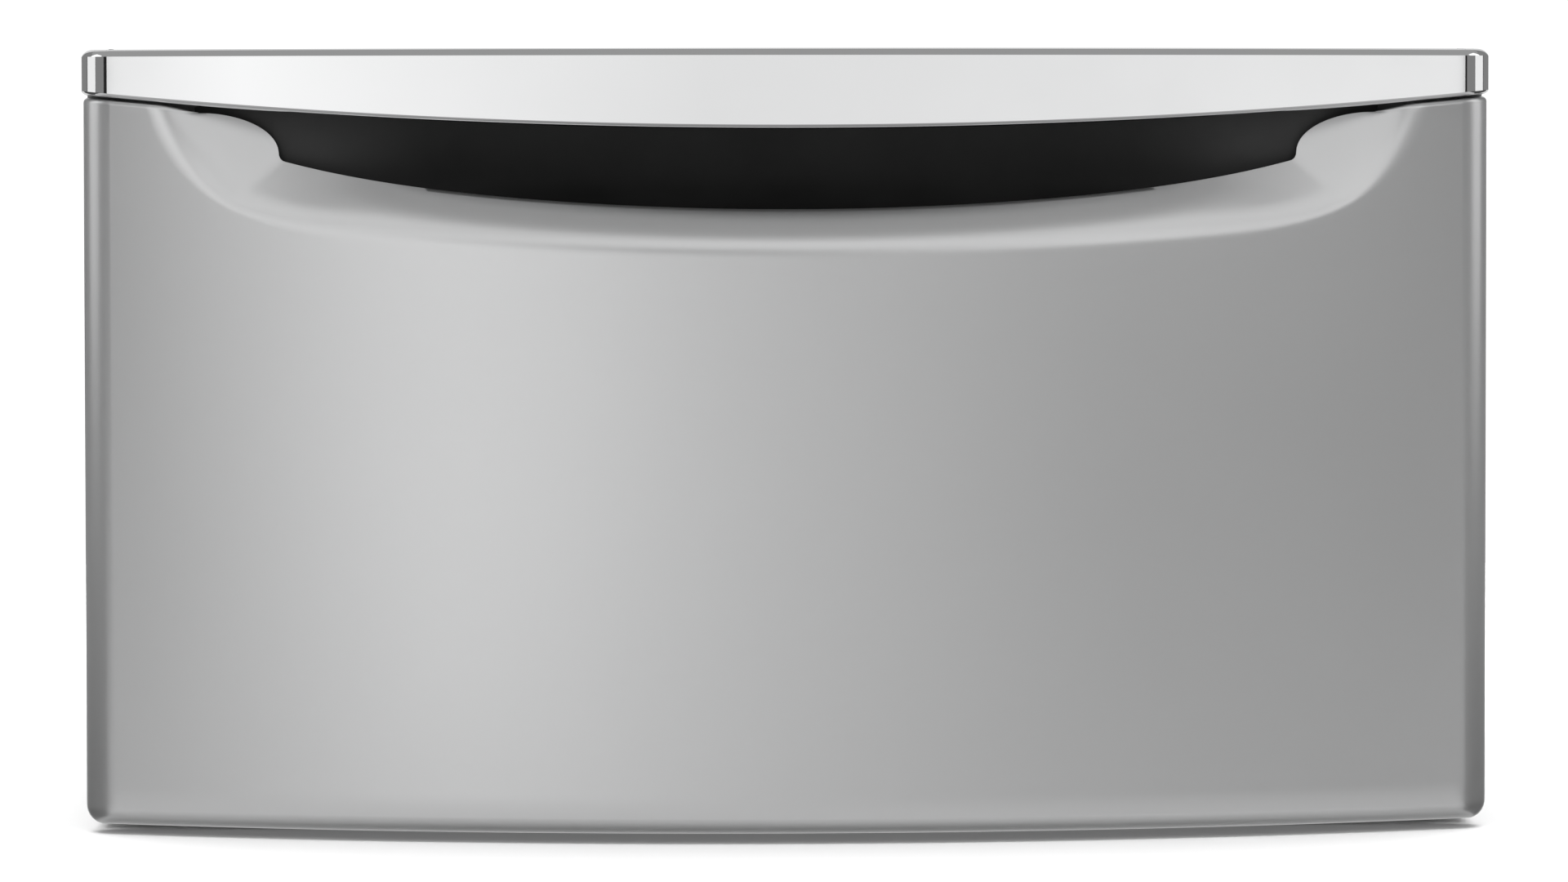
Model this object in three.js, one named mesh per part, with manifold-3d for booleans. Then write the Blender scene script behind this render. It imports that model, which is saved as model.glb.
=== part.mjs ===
// Laundry pedestal: a low steel cabinet with one full-width storage drawer, on four screw feet.
// Millimetres. X runs to the right, Y to the back and Z up. The origin is on the floor, under the middle.

import * as THREE from 'three';
import { mergeVertices } from 'three/addons/utils/BufferGeometryUtils.js';
import Module from 'manifold-3d';

const wasm = await Module();
wasm.setup();

// ---- driving dimensions ----

const width = 685.8;            // over the bright trim
const depth = 690;              // crown of the front to the back edge of the deck
const height = 381;             // floor to the top of the deck
const sheet = 1.0;              // steel sheet of the cabinet and the drawer
const gap = 0.3;                // between pieces that touch
const far = 600;                // reaches past the whole object

const frontY = -depth / 2;
const backY = depth / 2;

// the drawer front
const bow = 60;                 // the crown stands this far ahead of the two ends
const rollWidth = 13.5;         // rounded vertical edges, seen from the front
const rollDepth = 12;
const skinInset = 0.9;          // the skin stands in from the trim all round
const skinBottom = 4.5;
const skinRound = 8;            // rounded lower edge
const frontBack = -266.3;       // rear edges of the skin and the trim
const panelFront = -266;        // flat inner panel that closes the front from behind
const panelBack = -265;
const panelTop = 375.5;
const panelRim = 12;

// the bright trim that is the handle, straight along the top and curved along the bottom
const trimTop = 380.7;
const trimLow = 341.9;          // lower edge in the middle
const trimCurve = 3537;         // radius of the lower edge
const trimWall = 2.5;
const trimRound = 4;
const trimGap = 1;              // open line between the trim and the skin
const trimBase = 290;           // the trim is cut out of the front above this height
const gripHalf = 243;           // open underneath the trim for the fingers
const gripLip = 9;

// the angles that hold the trim's ends
const handleBracketXs = [272, 308];
const handleBracketReach = -288;
const handleBracketHeight = 11;
const handleBracketDrop = 12;   // below the top of the inner panel
const bracketSheet = 1.5;

// the scoop in the skin and the finger cup behind it
const scoopHalf = 309;          // at the face
const pocketHalf = 245;         // at the cup
const pocketLow = 303.5;
const pocketCurve = 1610;       // radius of the cup's lower edge
const rampHeight = 24;
const rampDepth = 26;
const rampWall = 1.2;
const cupWall = 2;
const cupBottom = 293.5;
const cupTop = 377;
const cupFront = 28.5;          // behind the face
const cupBack = -267.5;

// the cabinet
const cabinetHalf = 339.5;      // outside of the side panels
const cabinetFront = -258;
const cabinetBack = 344.1;
const cabinetBottom = 8;
const cabinetTop = 379.8;
const sideFlange = 18;
const deckBottom = 380.1;
const deckLip = 12;
const deckHalf = 340.8;
const keyholeX = 250;
const keyholeY = { middle: 43, reach: 235 };
const keyholeRadius = 8;
const keyholeSlot = { half: 3.5, length: 22 };
const railHeight = 30;
const railDepth = 16.7;
const braceHeight = 18;
const braceYs = { front: -80, rear: 130 };

// the drawer box
const boxHalf = 307.3;          // outside of the drawer sides
const boxBottom = 54;
const boxTop = 302;
const boxBack = 299;
const boxFlange = 12;
const dividerY = 20;
const dividerTop = 280;
const floorRibXs = [-200, -100, 0, 100, 200];

// the ball-bearing slides
const slidePlane = 320;         // mounting plane of the outer members
const slideZ = 142;
const slideFront = -250;
const slideLength = 550;
const slideSteel = 1.2;
const cageLength = 200;
const cageSteel = 0.5;
const cageReach = 9.5;          // the cage's flanges, from the mounting plane
const ballRows = 5;
const ballAway = 7.4;           // ball centres, from the mounting plane
const leverYs = { front: -236, pivot: -205, back: -186 };
const leverXs = [6.5, 10.9];    // from the mounting plane

// the feet
const footXs = { left: -298, right: 298 };
const footYs = { front: -208, rear: 293.5 };
const studRadius = 5.9;
const studTop = 50;
const boreRadius = 6.2;
const padRadius = 20;
const padHeight = 8;
const hexAcross = 19;
const hexRadius = hexAcross / Math.sqrt(3);
const footPlateX = 258;         // inner edge of the corner plates
const footPlateLength = 62;

// the rubber bumpers between the drawer front and the cabinet
const bumperX = 330;
const bumperZs = { upper: 318, lower: 48 };
const bumperRadii = [6, 5];
const bumperGap = 1.5;

const sides = { left: -1, right: 1 };

// ---- finishes ----

const finish = (color, roughness, metalness) => new THREE.MeshStandardMaterial({ color, roughness, metalness });
const greyPaint = () => finish(0xa6a7a9, 0.38, 0.6);
const cabinetPaint = () => finish(0x8f9092, 0.5, 0.4);
const boxPaint = () => finish(0xc9cacb, 0.5, 0.1);
const chrome = () => finish(0xe8e9ea, 0.1, 1);
const blackPlastic = () => finish(0x17181a, 0.6, 0);
const blackRubber = () => finish(0x202122, 0.85, 0);
const zinc = () => finish(0xbfc2c6, 0.35, 0.9);

// ---- solids ----

// A closed three.js geometry as a manifold-3d solid.
function solid(geometry) {
  geometry.deleteAttribute('normal');
  geometry.deleteAttribute('uv');
  const merged = mergeVertices(geometry, 1e-4);
  const mesh = new wasm.Mesh({
    numProp: 3,
    vertProperties: new Float32Array(merged.attributes.position.array),
    triVerts: new Uint32Array(merged.index.array),
  });
  return new wasm.Manifold(mesh);
}

const join = (first, ...others) => others.reduce((whole, piece) => whole.add(piece), first);
const cut = (first, ...tools) => tools.reduce((whole, tool) => whole.subtract(tool), first);
const common = (first, second) => first.intersect(second);

// A box between two corners, given as pairs along X, Y and Z in either order.
function block([xa, xb], [ya, yb], [za, zb]) {
  const box = new THREE.BoxGeometry(Math.abs(xb - xa), Math.abs(yb - ya), Math.abs(zb - za));
  box.translate((xa + xb) / 2, (ya + yb) / 2, (za + zb) / 2);
  return solid(box);
}

const alongX = new THREE.Vector3(1, 0, 0);
const alongY = new THREE.Vector3(0, 1, 0);
const alongZ = new THREE.Vector3(0, 0, 1);
const ontoXZ = new THREE.Matrix4().makeBasis(alongX, alongZ, alongY.clone().negate());
const ontoYZ = new THREE.Matrix4().makeBasis(alongY, alongZ, alongX);

const polygon = (points) => new THREE.Shape(points.map(([a, b]) => new THREE.Vector2(a, b)));

// An outline in X and Y, run up from one height to another.
function prismZ(outline, from, to, curveSegments = 8) {
  const geometry = new THREE.ExtrudeGeometry(outline, { depth: to - from, bevelEnabled: false, curveSegments });
  geometry.translate(0, 0, from);
  return solid(geometry);
}

// An outline in X and Z, run back along Y.
function prismY(outline, from, to, curveSegments = 8) {
  const geometry = new THREE.ExtrudeGeometry(outline, { depth: to - from, bevelEnabled: false, curveSegments });
  geometry.translate(0, 0, -to);
  geometry.applyMatrix4(ontoXZ);
  return solid(geometry);
}

// An outline in Y and Z, run along X.
function prismX(outline, from, to, curveSegments = 8) {
  const geometry = new THREE.ExtrudeGeometry(outline, { depth: to - from, bevelEnabled: false, curveSegments });
  geometry.translate(0, 0, from);
  geometry.applyMatrix4(ontoYZ);
  return solid(geometry);
}

// An upright round bar, or a hexagon with six sides.
function post(x, y, radius, from, to, count = 16) {
  const geometry = new THREE.CylinderGeometry(radius, radius, to - from, count);
  geometry.rotateX(Math.PI / 2);
  geometry.translate(x, y, (from + to) / 2);
  return solid(geometry);
}

// A shape turned about an upright axis, from a list of [radius, height] that starts and ends on it.
function turned(x, y, profile, count = 20) {
  const points = profile.map(([radius, z]) => new THREE.Vector2(radius, z));
  const geometry = new THREE.LatheGeometry(points, count);
  geometry.rotateX(Math.PI / 2);
  geometry.translate(x, y, 0);
  return solid(geometry);
}

const pedestal = new THREE.Group();

function add(name, piece, material) {
  const { vertProperties, triVerts } = piece.getMesh();
  const geometry = new THREE.BufferGeometry();
  geometry.setAttribute('position', new THREE.BufferAttribute(new Float32Array(vertProperties), 3));
  geometry.setIndex(new THREE.BufferAttribute(new Uint32Array(triVerts), 1));
  geometry.computeVertexNormals();
  const mesh = new THREE.Mesh(geometry, material);
  mesh.name = name;
  pedestal.add(mesh);
}

// ---- the bowed front ----

const bowRadius = (width ** 2 / 4 + bow ** 2) / (2 * bow);
const bowCentreY = frontY + bowRadius;
const bowAt = (x) => bowRadius - Math.sqrt(bowRadius ** 2 - x ** 2);

// Plan of the front, set in from its outside: a flat arc with a rounded edge at each end.
function frontPlan(inset, rear) {
  const edge = width / 2 - inset;
  const radius = bowRadius - inset;
  const half = Math.asin((width / 2 - rollWidth) / bowRadius);
  const startX = radius * Math.sin(half);
  const startY = bowCentreY - radius * Math.cos(half);
  const kneeY = startY + (edge - startX) * Math.tan(half);
  const rollEndY = kneeY + rollDepth;
  const plan = new THREE.Shape();
  plan.moveTo(-edge, rear);
  plan.lineTo(-edge, rollEndY);
  plan.quadraticCurveTo(-edge, kneeY, -startX, startY);
  plan.absarc(0, bowCentreY, radius, -Math.PI / 2 - half, -Math.PI / 2 + half);
  plan.quadraticCurveTo(edge, kneeY, edge, rollEndY);
  plan.lineTo(edge, rear);
  return plan;
}

// The front's plan run up between two heights, with rounded lower and upper edges. It reaches well
// behind the front, and what isn't wanted there is cut away.
function frontBlock(inset, from, to, round) {
  const rear = -150;
  const geometry = new THREE.ExtrudeGeometry(frontPlan(inset, rear), {
    depth: to - from - 2 * round,
    curveSegments: 7,
    bevelThickness: round,
    bevelSize: round,
    bevelOffset: -round,
    bevelSegments: 3,
  });
  geometry.translate(0, 0, from + round);
  return solid(geometry);
}

// All that lies behind a plane across the front.
const behindFront = (y) => block([-far, far], [y, far], [-far, far]);

// All that lies above the trim's curved lower edge, raised by an offset.
function aboveTrimEdge(offset) {
  const across = 400;
  const reach = Math.asin(across / trimCurve);
  const outline = new THREE.Shape();
  outline.absarc(0, trimLow + trimCurve + offset, trimCurve, -Math.PI / 2 - reach, -Math.PI / 2 + reach);
  outline.lineTo(across, far);
  outline.lineTo(-across, far);
  return prismY(outline, -far, far);
}

// The scoop widens from the cup's outline to the face. It is drawn with X squeezed, so that an even
// offset of the outline becomes a long ramp at the ends and a short one below.
const squeeze = (scoopHalf - pocketHalf) / rampHeight;

function pocketOutline() {
  const half = pocketHalf / squeeze;
  const corner = 5;
  const lowAt = (u) => pocketLow + (u * squeeze) ** 2 / (2 * pocketCurve);
  const outline = new THREE.Shape();
  const steps = 14;
  const top = trimTop + 60;
  outline.moveTo(-half, top);
  outline.lineTo(-half, lowAt(half) + corner);
  outline.lineTo(-half + 0.3 * corner, lowAt(half) + 0.3 * corner);
  for (let i = 0; i <= steps; i += 1) {
    const u = (half - corner) * (2 * i / steps - 1);
    outline.lineTo(u, lowAt(u));
  }
  outline.lineTo(half - 0.3 * corner, lowAt(half) + 0.3 * corner);
  outline.lineTo(half, lowAt(half) + corner);
  outline.lineTo(half, top);
  return outline;
}

// Bends a geometry drawn against a flat face so that it follows the bow.
function followBow(geometry) {
  const position = geometry.attributes.position;
  for (let i = 0; i < position.count; i += 1) {
    position.setX(i, position.getX(i) * squeeze);
    const x = Math.min(Math.abs(position.getX(i)), width / 2);
    position.setY(i, position.getY(i) + frontY + bowAt(x));
  }
  return geometry;
}

function scoopCutter(grow, back) {
  const geometry = new THREE.ExtrudeGeometry(pocketOutline(), {
    depth: 20,
    bevelThickness: rampDepth,
    bevelSize: rampHeight,
    bevelOffset: grow,
    bevelSegments: 1,
  });
  geometry.applyMatrix4(ontoXZ);
  geometry.translate(0, back, 0);
  return solid(followBow(geometry));
}

function pocketCutter() {
  const geometry = new THREE.ExtrudeGeometry(pocketOutline(), { depth: 100, bevelEnabled: false });
  geometry.translate(0, 0, -50);
  geometry.applyMatrix4(ontoXZ);
  return solid(followBow(geometry));
}

// Plan of the finger cup, set in from its outside: its front edge follows the bow.
function cupPlan(inset, front, rear) {
  const radius = bowRadius - front;
  const half = pocketHalf + 4 - inset;
  const reach = Math.asin(half / radius);
  const plan = new THREE.Shape();
  plan.absarc(0, bowCentreY, radius, -Math.PI / 2 - reach, -Math.PI / 2 + reach);
  plan.lineTo(half, rear);
  plan.lineTo(-half, rear);
  return plan;
}

const cupRoom = () => prismZ(cupPlan(-gap, cupFront - gap, 0), cupBottom - gap, cupTop + gap);

function drawerFrontSkin() {
  const outer = cut(frontBlock(skinInset, skinBottom, far, skinRound), aboveTrimEdge(-trimGap));
  const hollowTop = aboveTrimEdge(-trimGap - sheet);
  const hollow = cut(frontBlock(skinInset + sheet, skinBottom + sheet, far, skinRound - sheet), hollowTop);
  const rampBlock = common(scoopCutter(rampWall, rampWall), outer);
  const formed = join(cut(outer, hollow), rampBlock);
  return cut(formed, scoopCutter(0, 0), pocketCutter(), cupRoom(), behindFront(frontBack));
}

function drawerFrontInner() {
  const lift = 1.4;
  const plate = block([-far, far], [panelFront, panelBack], [0, panelTop]);
  const ring = block([-far, far], [panelFront - panelRim, panelBack], [0, trimLow - 60]);
  const edge = skinInset + lift;
  const envelope = frontBlock(edge, skinBottom + lift, far, skinRound - lift);
  const hollow = frontBlock(edge + sheet, skinBottom + lift + sheet, far, skinRound - lift - sheet);
  const tray = cut(ring, cut(hollow, behindFront(panelFront + 0.01)));
  return common(join(plate, tray), envelope);
}

function handleTrim() {
  const low = trimBase - 50;
  const outer = cut(frontBlock(0, low, trimTop, trimRound), block([-far, far], [-far, far], [0, trimBase]));
  const body = common(outer, aboveTrimEdge(0));
  const inside = frontBlock(trimWall, low, trimTop - trimWall, trimRound - trimWall + 1);
  const hollow = common(inside, aboveTrimEdge(trimWall));
  const grip = common(frontBlock(gripLip, low, trimTop - trimWall - 2, 1), aboveTrimEdge(-5));
  const opening = common(grip, block([-gripHalf, gripHalf], [-far, far], [0, far]));
  return cut(body, hollow, opening, cupRoom(), behindFront(frontBack));
}

// The black cup behind the scoop, open to the front, where the fingers go.
function fingerCup() {
  const outer = prismZ(cupPlan(0, cupFront, cupBack), cupBottom, cupTop);
  const hollow = prismZ(cupPlan(cupWall, 0, cupBack - cupWall), cupBottom + cupWall, cupTop - cupWall);
  return cut(outer, hollow);
}

// An angle that ties the trim's end to the inner panel.
function handleBracket(side) {
  const xs = handleBracketXs.map((x) => side * x);
  const low = panelTop - handleBracketDrop;
  const rear = panelFront - gap;
  const foot = block(xs, [rear, rear - bracketSheet], [low, low + handleBracketHeight]);
  const arm = block(xs, [rear, handleBracketReach], [low, low + bracketSheet]);
  return join(foot, arm);
}

// ---- the cabinet ----

function sidePanel(side) {
  const outer = block(
    [side * (cabinetHalf - sideFlange), side * cabinetHalf],
    [cabinetFront, cabinetBack],
    [cabinetBottom, cabinetTop],
  );
  const hollow = block(
    [0, side * (cabinetHalf - sheet)],
    [cabinetFront + sheet, cabinetBack - sheet],
    [cabinetBottom + sheet, cabinetTop - sheet],
  );
  return cut(outer, hollow);
}

const insideHalf = cabinetHalf - sheet - gap;
const insideFront = cabinetFront + sheet + gap;
const insideBack = cabinetBack - sheet - gap;
const insideBottom = cabinetBottom + sheet + gap;
const insideTop = cabinetTop - sheet - gap;

function rearPanel() {
  const flange = 15;
  const low = insideBottom + railHeight + gap;
  const outer = block([-insideHalf, insideHalf], [insideBack - flange, insideBack], [low, insideTop]);
  const hollow = block(
    [-far, far],
    [insideBack - far, insideBack - sheet],
    [low + sheet, insideTop - sheet],
  );
  return cut(outer, hollow);
}

// The top plate, with a lip turned down on all sides and four keyholes for the machine's foot clips.
function topDeck() {
  const lipGap = 0.3;
  const front = cabinetFront - lipGap - 0.6;
  const outer = block([-deckHalf, deckHalf], [front, backY], [cabinetTop - deckLip, height]);
  const inner = block(
    [-cabinetHalf - lipGap, cabinetHalf + lipGap],
    [cabinetFront - lipGap, cabinetBack + lipGap],
    [0, deckBottom],
  );
  const keyholes = [-1, 1].flatMap((sideX) => [-1, 1].map((sideY) => {
    const x = sideX * keyholeX;
    const y = keyholeY.middle + sideY * keyholeY.reach;
    const zs = [deckBottom - 1, height + 1];
    const slotXs = [x - keyholeSlot.half, x + keyholeSlot.half];
    return join(post(x, y, keyholeRadius, ...zs, 12), block(slotXs, [y, y + sideY * keyholeSlot.length], zs));
  }));
  return cut(outer, inner, ...keyholes);
}

// A channel across the cabinet, open to the inside.
function crossRail(front, back, bottom, top, openBack) {
  const outer = block([-insideHalf, insideHalf], [front, back], [bottom, top]);
  const ys = openBack ? [front + sheet, back + 1] : [front - 1, back - sheet];
  return cut(outer, block([-far, far], ys, [bottom + sheet, top - sheet]));
}

function deckBrace(y) {
  const half = 30;
  const flange = 14;
  const top = cabinetTop;
  const low = top - braceHeight;
  const outline = polygon([
    [y - half - flange, top], [y - half - flange, top - sheet], [y - half - sheet, top - sheet],
    [y - half - sheet, low], [y + half + sheet, low], [y + half + sheet, top - sheet],
    [y + half + flange, top - sheet], [y + half + flange, top], [y + half, top],
    [y + half, low + sheet], [y - half, low + sheet], [y - half, top],
  ]);
  const reach = cabinetHalf - sideFlange - gap;
  return prismX(outline, -reach, reach);
}

// A hat rail on the side panel that carries the slide.
function slideBracket(side) {
  const plate = slidePlane + gap;
  const wall = insideHalf;
  const half = 28;
  const flange = 15;
  const outline = polygon([
    [plate, -half], [wall - bracketSheet, -half], [wall - bracketSheet, -half - flange],
    [wall, -half - flange], [wall, -half + bracketSheet], [plate + bracketSheet, -half + bracketSheet],
    [plate + bracketSheet, half - bracketSheet], [wall, half - bracketSheet], [wall, half + flange],
    [wall - bracketSheet, half + flange], [wall - bracketSheet, half], [plate, half],
  ].map(([x, z]) => [side * x, slideZ + z]));
  return prismY(outline, slideFront, slideFront + slideLength);
}

// ---- the slides ----

// A C-shaped member: its web lies between two distances from the mounting plane, and its flanges
// reach to a third.
function channel(side, [webFrom, webTo], flangeTo, half, steel, from, to) {
  const outline = polygon([
    [webFrom, -half], [flangeTo, -half], [flangeTo, -half + steel], [webTo, -half + steel],
    [webTo, half - steel], [flangeTo, half - steel], [flangeTo, half], [webFrom, half],
  ].map(([away, z]) => [side * (slidePlane - away), slideZ + z]));
  return prismY(outline, from, to);
}

const slideMember = (side, web, flangeTo, half) => (
  channel(side, web, flangeTo, half, slideSteel, slideFront, slideFront + slideLength)
);

// A folded strip that keeps two rows of balls apart.
function ballCage(side, web, half, ballRadius, from) {
  const strip = channel(side, web, cageReach, half + cageSteel / 2, cageSteel, from, from + cageLength);
  const balls = [];
  for (let i = 0; i < ballRows; i += 1) {
    for (const row of [-1, 1]) {
      const ball = new THREE.IcosahedronGeometry(ballRadius, 0);
      const y = from + cageLength * (i + 0.5) / ballRows;
      ball.translate(side * (slidePlane - ballAway), y, slideZ + row * half);
      balls.push(solid(ball));
    }
  }
  return join(strip, ...balls);
}

// A small plastic lever in the inner member that frees the drawer from its slide.
function releaseLever(side) {
  const { front, pivot, back } = leverYs;
  const outline = polygon([
    [front, 3], [front, -2], [pivot, -5.5], [back, -3], [back, 3], [pivot, 5.5],
  ].map(([y, z]) => [y, slideZ + z]));
  const xs = leverXs.map((away) => side * (slidePlane - away)).sort((a, b) => a - b);
  return prismX(outline, xs[0], xs[1]);
}

// ---- the drawer box ----

const boxFront = panelBack + gap;

function drawerSide(side) {
  const outer = block([side * (boxHalf - boxFlange), side * boxHalf], [boxFront, boxBack], [boxBottom, boxTop]);
  const hollow = block([0, side * (boxHalf - sheet)], [-far, far], [boxBottom + sheet, boxTop - sheet]);
  return cut(outer, hollow);
}

const boxInside = boxHalf - sheet - gap;
const floorLow = boxBottom + sheet + gap;
const floorTop = floorLow + sheet;
const ribHeight = 1.2;

// The floor rests on the sides' lower flanges, with five pressed ribs for stiffness.
function drawerFloor() {
  const plate = block([-boxInside, boxInside], [boxFront, boxBack - sheet - gap], [floorLow, floorTop]);
  const ribs = floorRibXs.map((x) => (
    block([x - 6, x + 6], [boxFront + 30, boxBack - 30], [floorTop - 0.2, floorTop + ribHeight])
  ));
  return join(plate, ...ribs);
}

function drawerBack() {
  const top = boxTop - sheet - gap;
  const web = block([-boxInside, boxInside], [boxBack - sheet, boxBack], [floorLow, top]);
  const hem = block([-boxInside, boxInside], [boxBack - boxFlange, boxBack], [top - sheet, top]);
  return join(web, hem);
}

function drawerDivider() {
  const low = floorTop + ribHeight + gap;
  const web = block([-boxInside, boxInside], [dividerY, dividerY + sheet], [low, dividerTop]);
  const hem = block([-boxInside, boxInside], [dividerY, dividerY + 8], [dividerTop - sheet, dividerTop]);
  const foot = block([-boxInside, boxInside], [dividerY, dividerY + 12], [low, low + sheet]);
  return join(web, hem, foot);
}

// ---- the feet ----

const bracketLow = 20.3;
const bracketSteel = 2;
const nutLow = bracketLow - gap - 6;

// A corner plate between the side panel and the cross rail, with a nut welded on for the stud.
function footBracket(x, y) {
  const outward = Math.sign(x);
  const forward = y < 0 ? -1 : 1;
  const rim = y < 0 ? insideFront + railDepth + gap : insideBack - railDepth - gap;
  const top = bracketLow + bracketSteel;
  const xs = [outward * footPlateX, outward * insideHalf];
  const ys = [rim, rim - forward * footPlateLength];
  const plate = block(xs, ys, [bracketLow, top]);
  const wallXs = [outward * (insideHalf - bracketSteel), outward * insideHalf];
  const wall = block(wallXs, ys, [bracketLow, bracketLow + 36]);
  const tab = block(xs, [rim, rim - forward * bracketSteel], [bracketLow, top + 22]);
  const nut = post(x, y, hexRadius, top - 0.1, top + 8.5, 6);
  return cut(join(plate, wall, tab, nut), post(x, y, boreRadius, 0, top + 20));
}

function lockNut(x, y) {
  return cut(post(x, y, hexRadius, nutLow, nutLow + 6, 6), post(x, y, boreRadius, 0, studTop));
}

function footStud(x, y) {
  const seat = 4 + gap;
  const shank = turned(x, y, [
    [0, seat], [5, seat], [5, padHeight + gap], [studRadius, padHeight + gap],
    [studRadius, studTop - 1.5], [studRadius - 1.5, studTop], [0, studTop],
  ], 16);
  return join(shank, post(x, y, hexRadius, padHeight + gap, nutLow - gap, 6));
}

function footPad(x, y) {
  return turned(x, y, [
    [0, 0], [padRadius, 0], [padRadius, 3], [padRadius - 2, 5], [9, padHeight],
    [5.4, padHeight], [5.4, 4], [0, 4],
  ]);
}

// A rubber disc in front of the cabinet, just clear of the inner panel.
function drawerBumper(side, z) {
  const disc = new THREE.CylinderGeometry(...bumperRadii, cabinetFront - panelBack - bumperGap, 12);
  disc.translate(side * bumperX, (cabinetFront + panelBack) / 2 - 0.45, z);
  return solid(disc);
}

// ---- the assembly ----

function buildCabinet() {
  for (const [name, side] of Object.entries(sides)) {
    add(`side_panel_${name}`, sidePanel(side), cabinetPaint());
    add(`slide_bracket_${name}`, slideBracket(side), zinc());
    add(`slide_outer_${name}`, slideMember(side, [0, slideSteel], 11, 22.5), zinc());
    for (const [rank, z] of Object.entries(bumperZs)) {
      add(`drawer_bumper_${rank}_${name}`, drawerBumper(side, z), blackRubber());
    }
  }
  add('rear_panel', rearPanel(), cabinetPaint());
  add('top_deck', topDeck(), cabinetPaint());
  const lowRail = [insideBottom, insideBottom + railHeight];
  const highRail = [insideTop - railHeight, insideTop];
  const frontYs = [insideFront, insideFront + railDepth];
  add('front_top_rail', crossRail(...frontYs, ...highRail, true), cabinetPaint());
  add('front_bottom_rail', crossRail(...frontYs, ...lowRail, true), cabinetPaint());
  add('rear_bottom_rail', crossRail(insideBack - railDepth, insideBack, ...lowRail, false), cabinetPaint());
  for (const [name, y] of Object.entries(braceYs)) {
    add(`deck_brace_${name}`, deckBrace(y), zinc());
  }
}

function buildFeet() {
  for (const [rank, y] of Object.entries(footYs)) {
    for (const [name, x] of Object.entries(footXs)) {
      add(`foot_bracket_${rank}_${name}`, footBracket(x, y), zinc());
      add(`lock_nut_${rank}_${name}`, lockNut(x, y), zinc());
      add(`foot_stud_${rank}_${name}`, footStud(x, y), zinc());
      add(`foot_pad_${rank}_${name}`, footPad(x, y), blackRubber());
    }
  }
}

function buildDrawer() {
  add('drawer_front_skin', drawerFrontSkin(), greyPaint());
  add('drawer_front_inner', drawerFrontInner(), boxPaint());
  add('handle_trim', handleTrim(), chrome());
  add('finger_cup', fingerCup(), blackPlastic());
  add('drawer_floor', drawerFloor(), boxPaint());
  add('drawer_back', drawerBack(), boxPaint());
  add('drawer_divider', drawerDivider(), boxPaint());
  for (const [name, side] of Object.entries(sides)) {
    add(`drawer_side_${name}`, drawerSide(side), boxPaint());
    add(`handle_bracket_${name}`, handleBracket(side), zinc());
    add(`slide_inner_${name}`, slideMember(side, [12.4, 11.2], 5, 12.3), zinc());
    add(`release_lever_${name}`, releaseLever(side), blackPlastic());
  }
}

function buildSlides() {
  for (const [name, side] of Object.entries(sides)) {
    add(`slide_middle_${name}`, slideMember(side, [2.2, 3.4], 11.5, 17.5), zinc());
    add(`ball_cage_outer_${name}`, ballCage(side, [1.45, 1.95], 19.4, 1.8, slideFront + 130), zinc());
    add(`ball_cage_inner_${name}`, ballCage(side, [3.7, 4.2], 14.3, 1.9, slideFront + 135), zinc());
  }
}

buildCabinet();
buildFeet();
buildDrawer();
buildSlides();

export default pedestal;
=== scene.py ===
# Laundry pedestal: the looks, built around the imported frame. Shapes are worked out in millimetres.
import math

import bpy
from mathutils import Matrix, Vector


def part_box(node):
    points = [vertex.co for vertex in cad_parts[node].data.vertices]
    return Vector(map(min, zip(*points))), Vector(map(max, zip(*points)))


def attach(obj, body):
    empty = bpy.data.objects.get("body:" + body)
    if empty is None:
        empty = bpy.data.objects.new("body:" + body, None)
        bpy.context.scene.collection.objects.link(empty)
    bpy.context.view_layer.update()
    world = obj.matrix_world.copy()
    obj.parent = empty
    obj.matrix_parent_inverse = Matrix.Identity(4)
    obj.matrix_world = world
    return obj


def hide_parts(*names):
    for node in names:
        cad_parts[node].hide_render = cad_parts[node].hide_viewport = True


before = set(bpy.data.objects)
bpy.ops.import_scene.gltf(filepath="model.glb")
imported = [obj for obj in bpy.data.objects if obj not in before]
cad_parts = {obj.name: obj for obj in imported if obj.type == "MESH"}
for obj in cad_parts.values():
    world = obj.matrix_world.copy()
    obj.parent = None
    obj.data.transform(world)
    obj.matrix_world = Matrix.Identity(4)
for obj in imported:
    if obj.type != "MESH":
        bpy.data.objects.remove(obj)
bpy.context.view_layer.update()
mm = 0.001


def cornersOf(node):  # lowest and highest corner of a frame node, in millimetres
    low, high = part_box(node)
    return Vector(low) / mm, Vector(high) / mm


# the view and the light

cameraSetup = {
    "place": (-0.0864, -3.3982, 0.3455),
    "yaw": 1.554,
    "pitch": -2.010,
    "roll": -0.068,
    "lens": 147.2,
    "shiftUp": -0.0602,
}


def placeCamera(setup):
    data = bpy.data.cameras.new("viewCamera")
    data.lens = setup["lens"]
    data.sensor_width = 36
    data.shift_y = setup["shiftUp"]
    data.clip_end = 60
    camera = bpy.data.objects.new("viewCamera", data)
    bpy.context.scene.collection.objects.link(camera)
    turn = Matrix.Rotation(math.radians(-setup["yaw"]), 4, "Z")
    tip = Matrix.Rotation(math.radians(90 + setup["pitch"]), 4, "X")
    roll = Matrix.Rotation(math.radians(setup["roll"]), 4, "Z")
    camera.matrix_world = Matrix.Translation(setup["place"]) @ turn @ tip @ roll
    bpy.context.scene.camera = camera


placeCamera(cameraSetup)
print("camera placed")


# materials: shader maths written as sums

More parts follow.
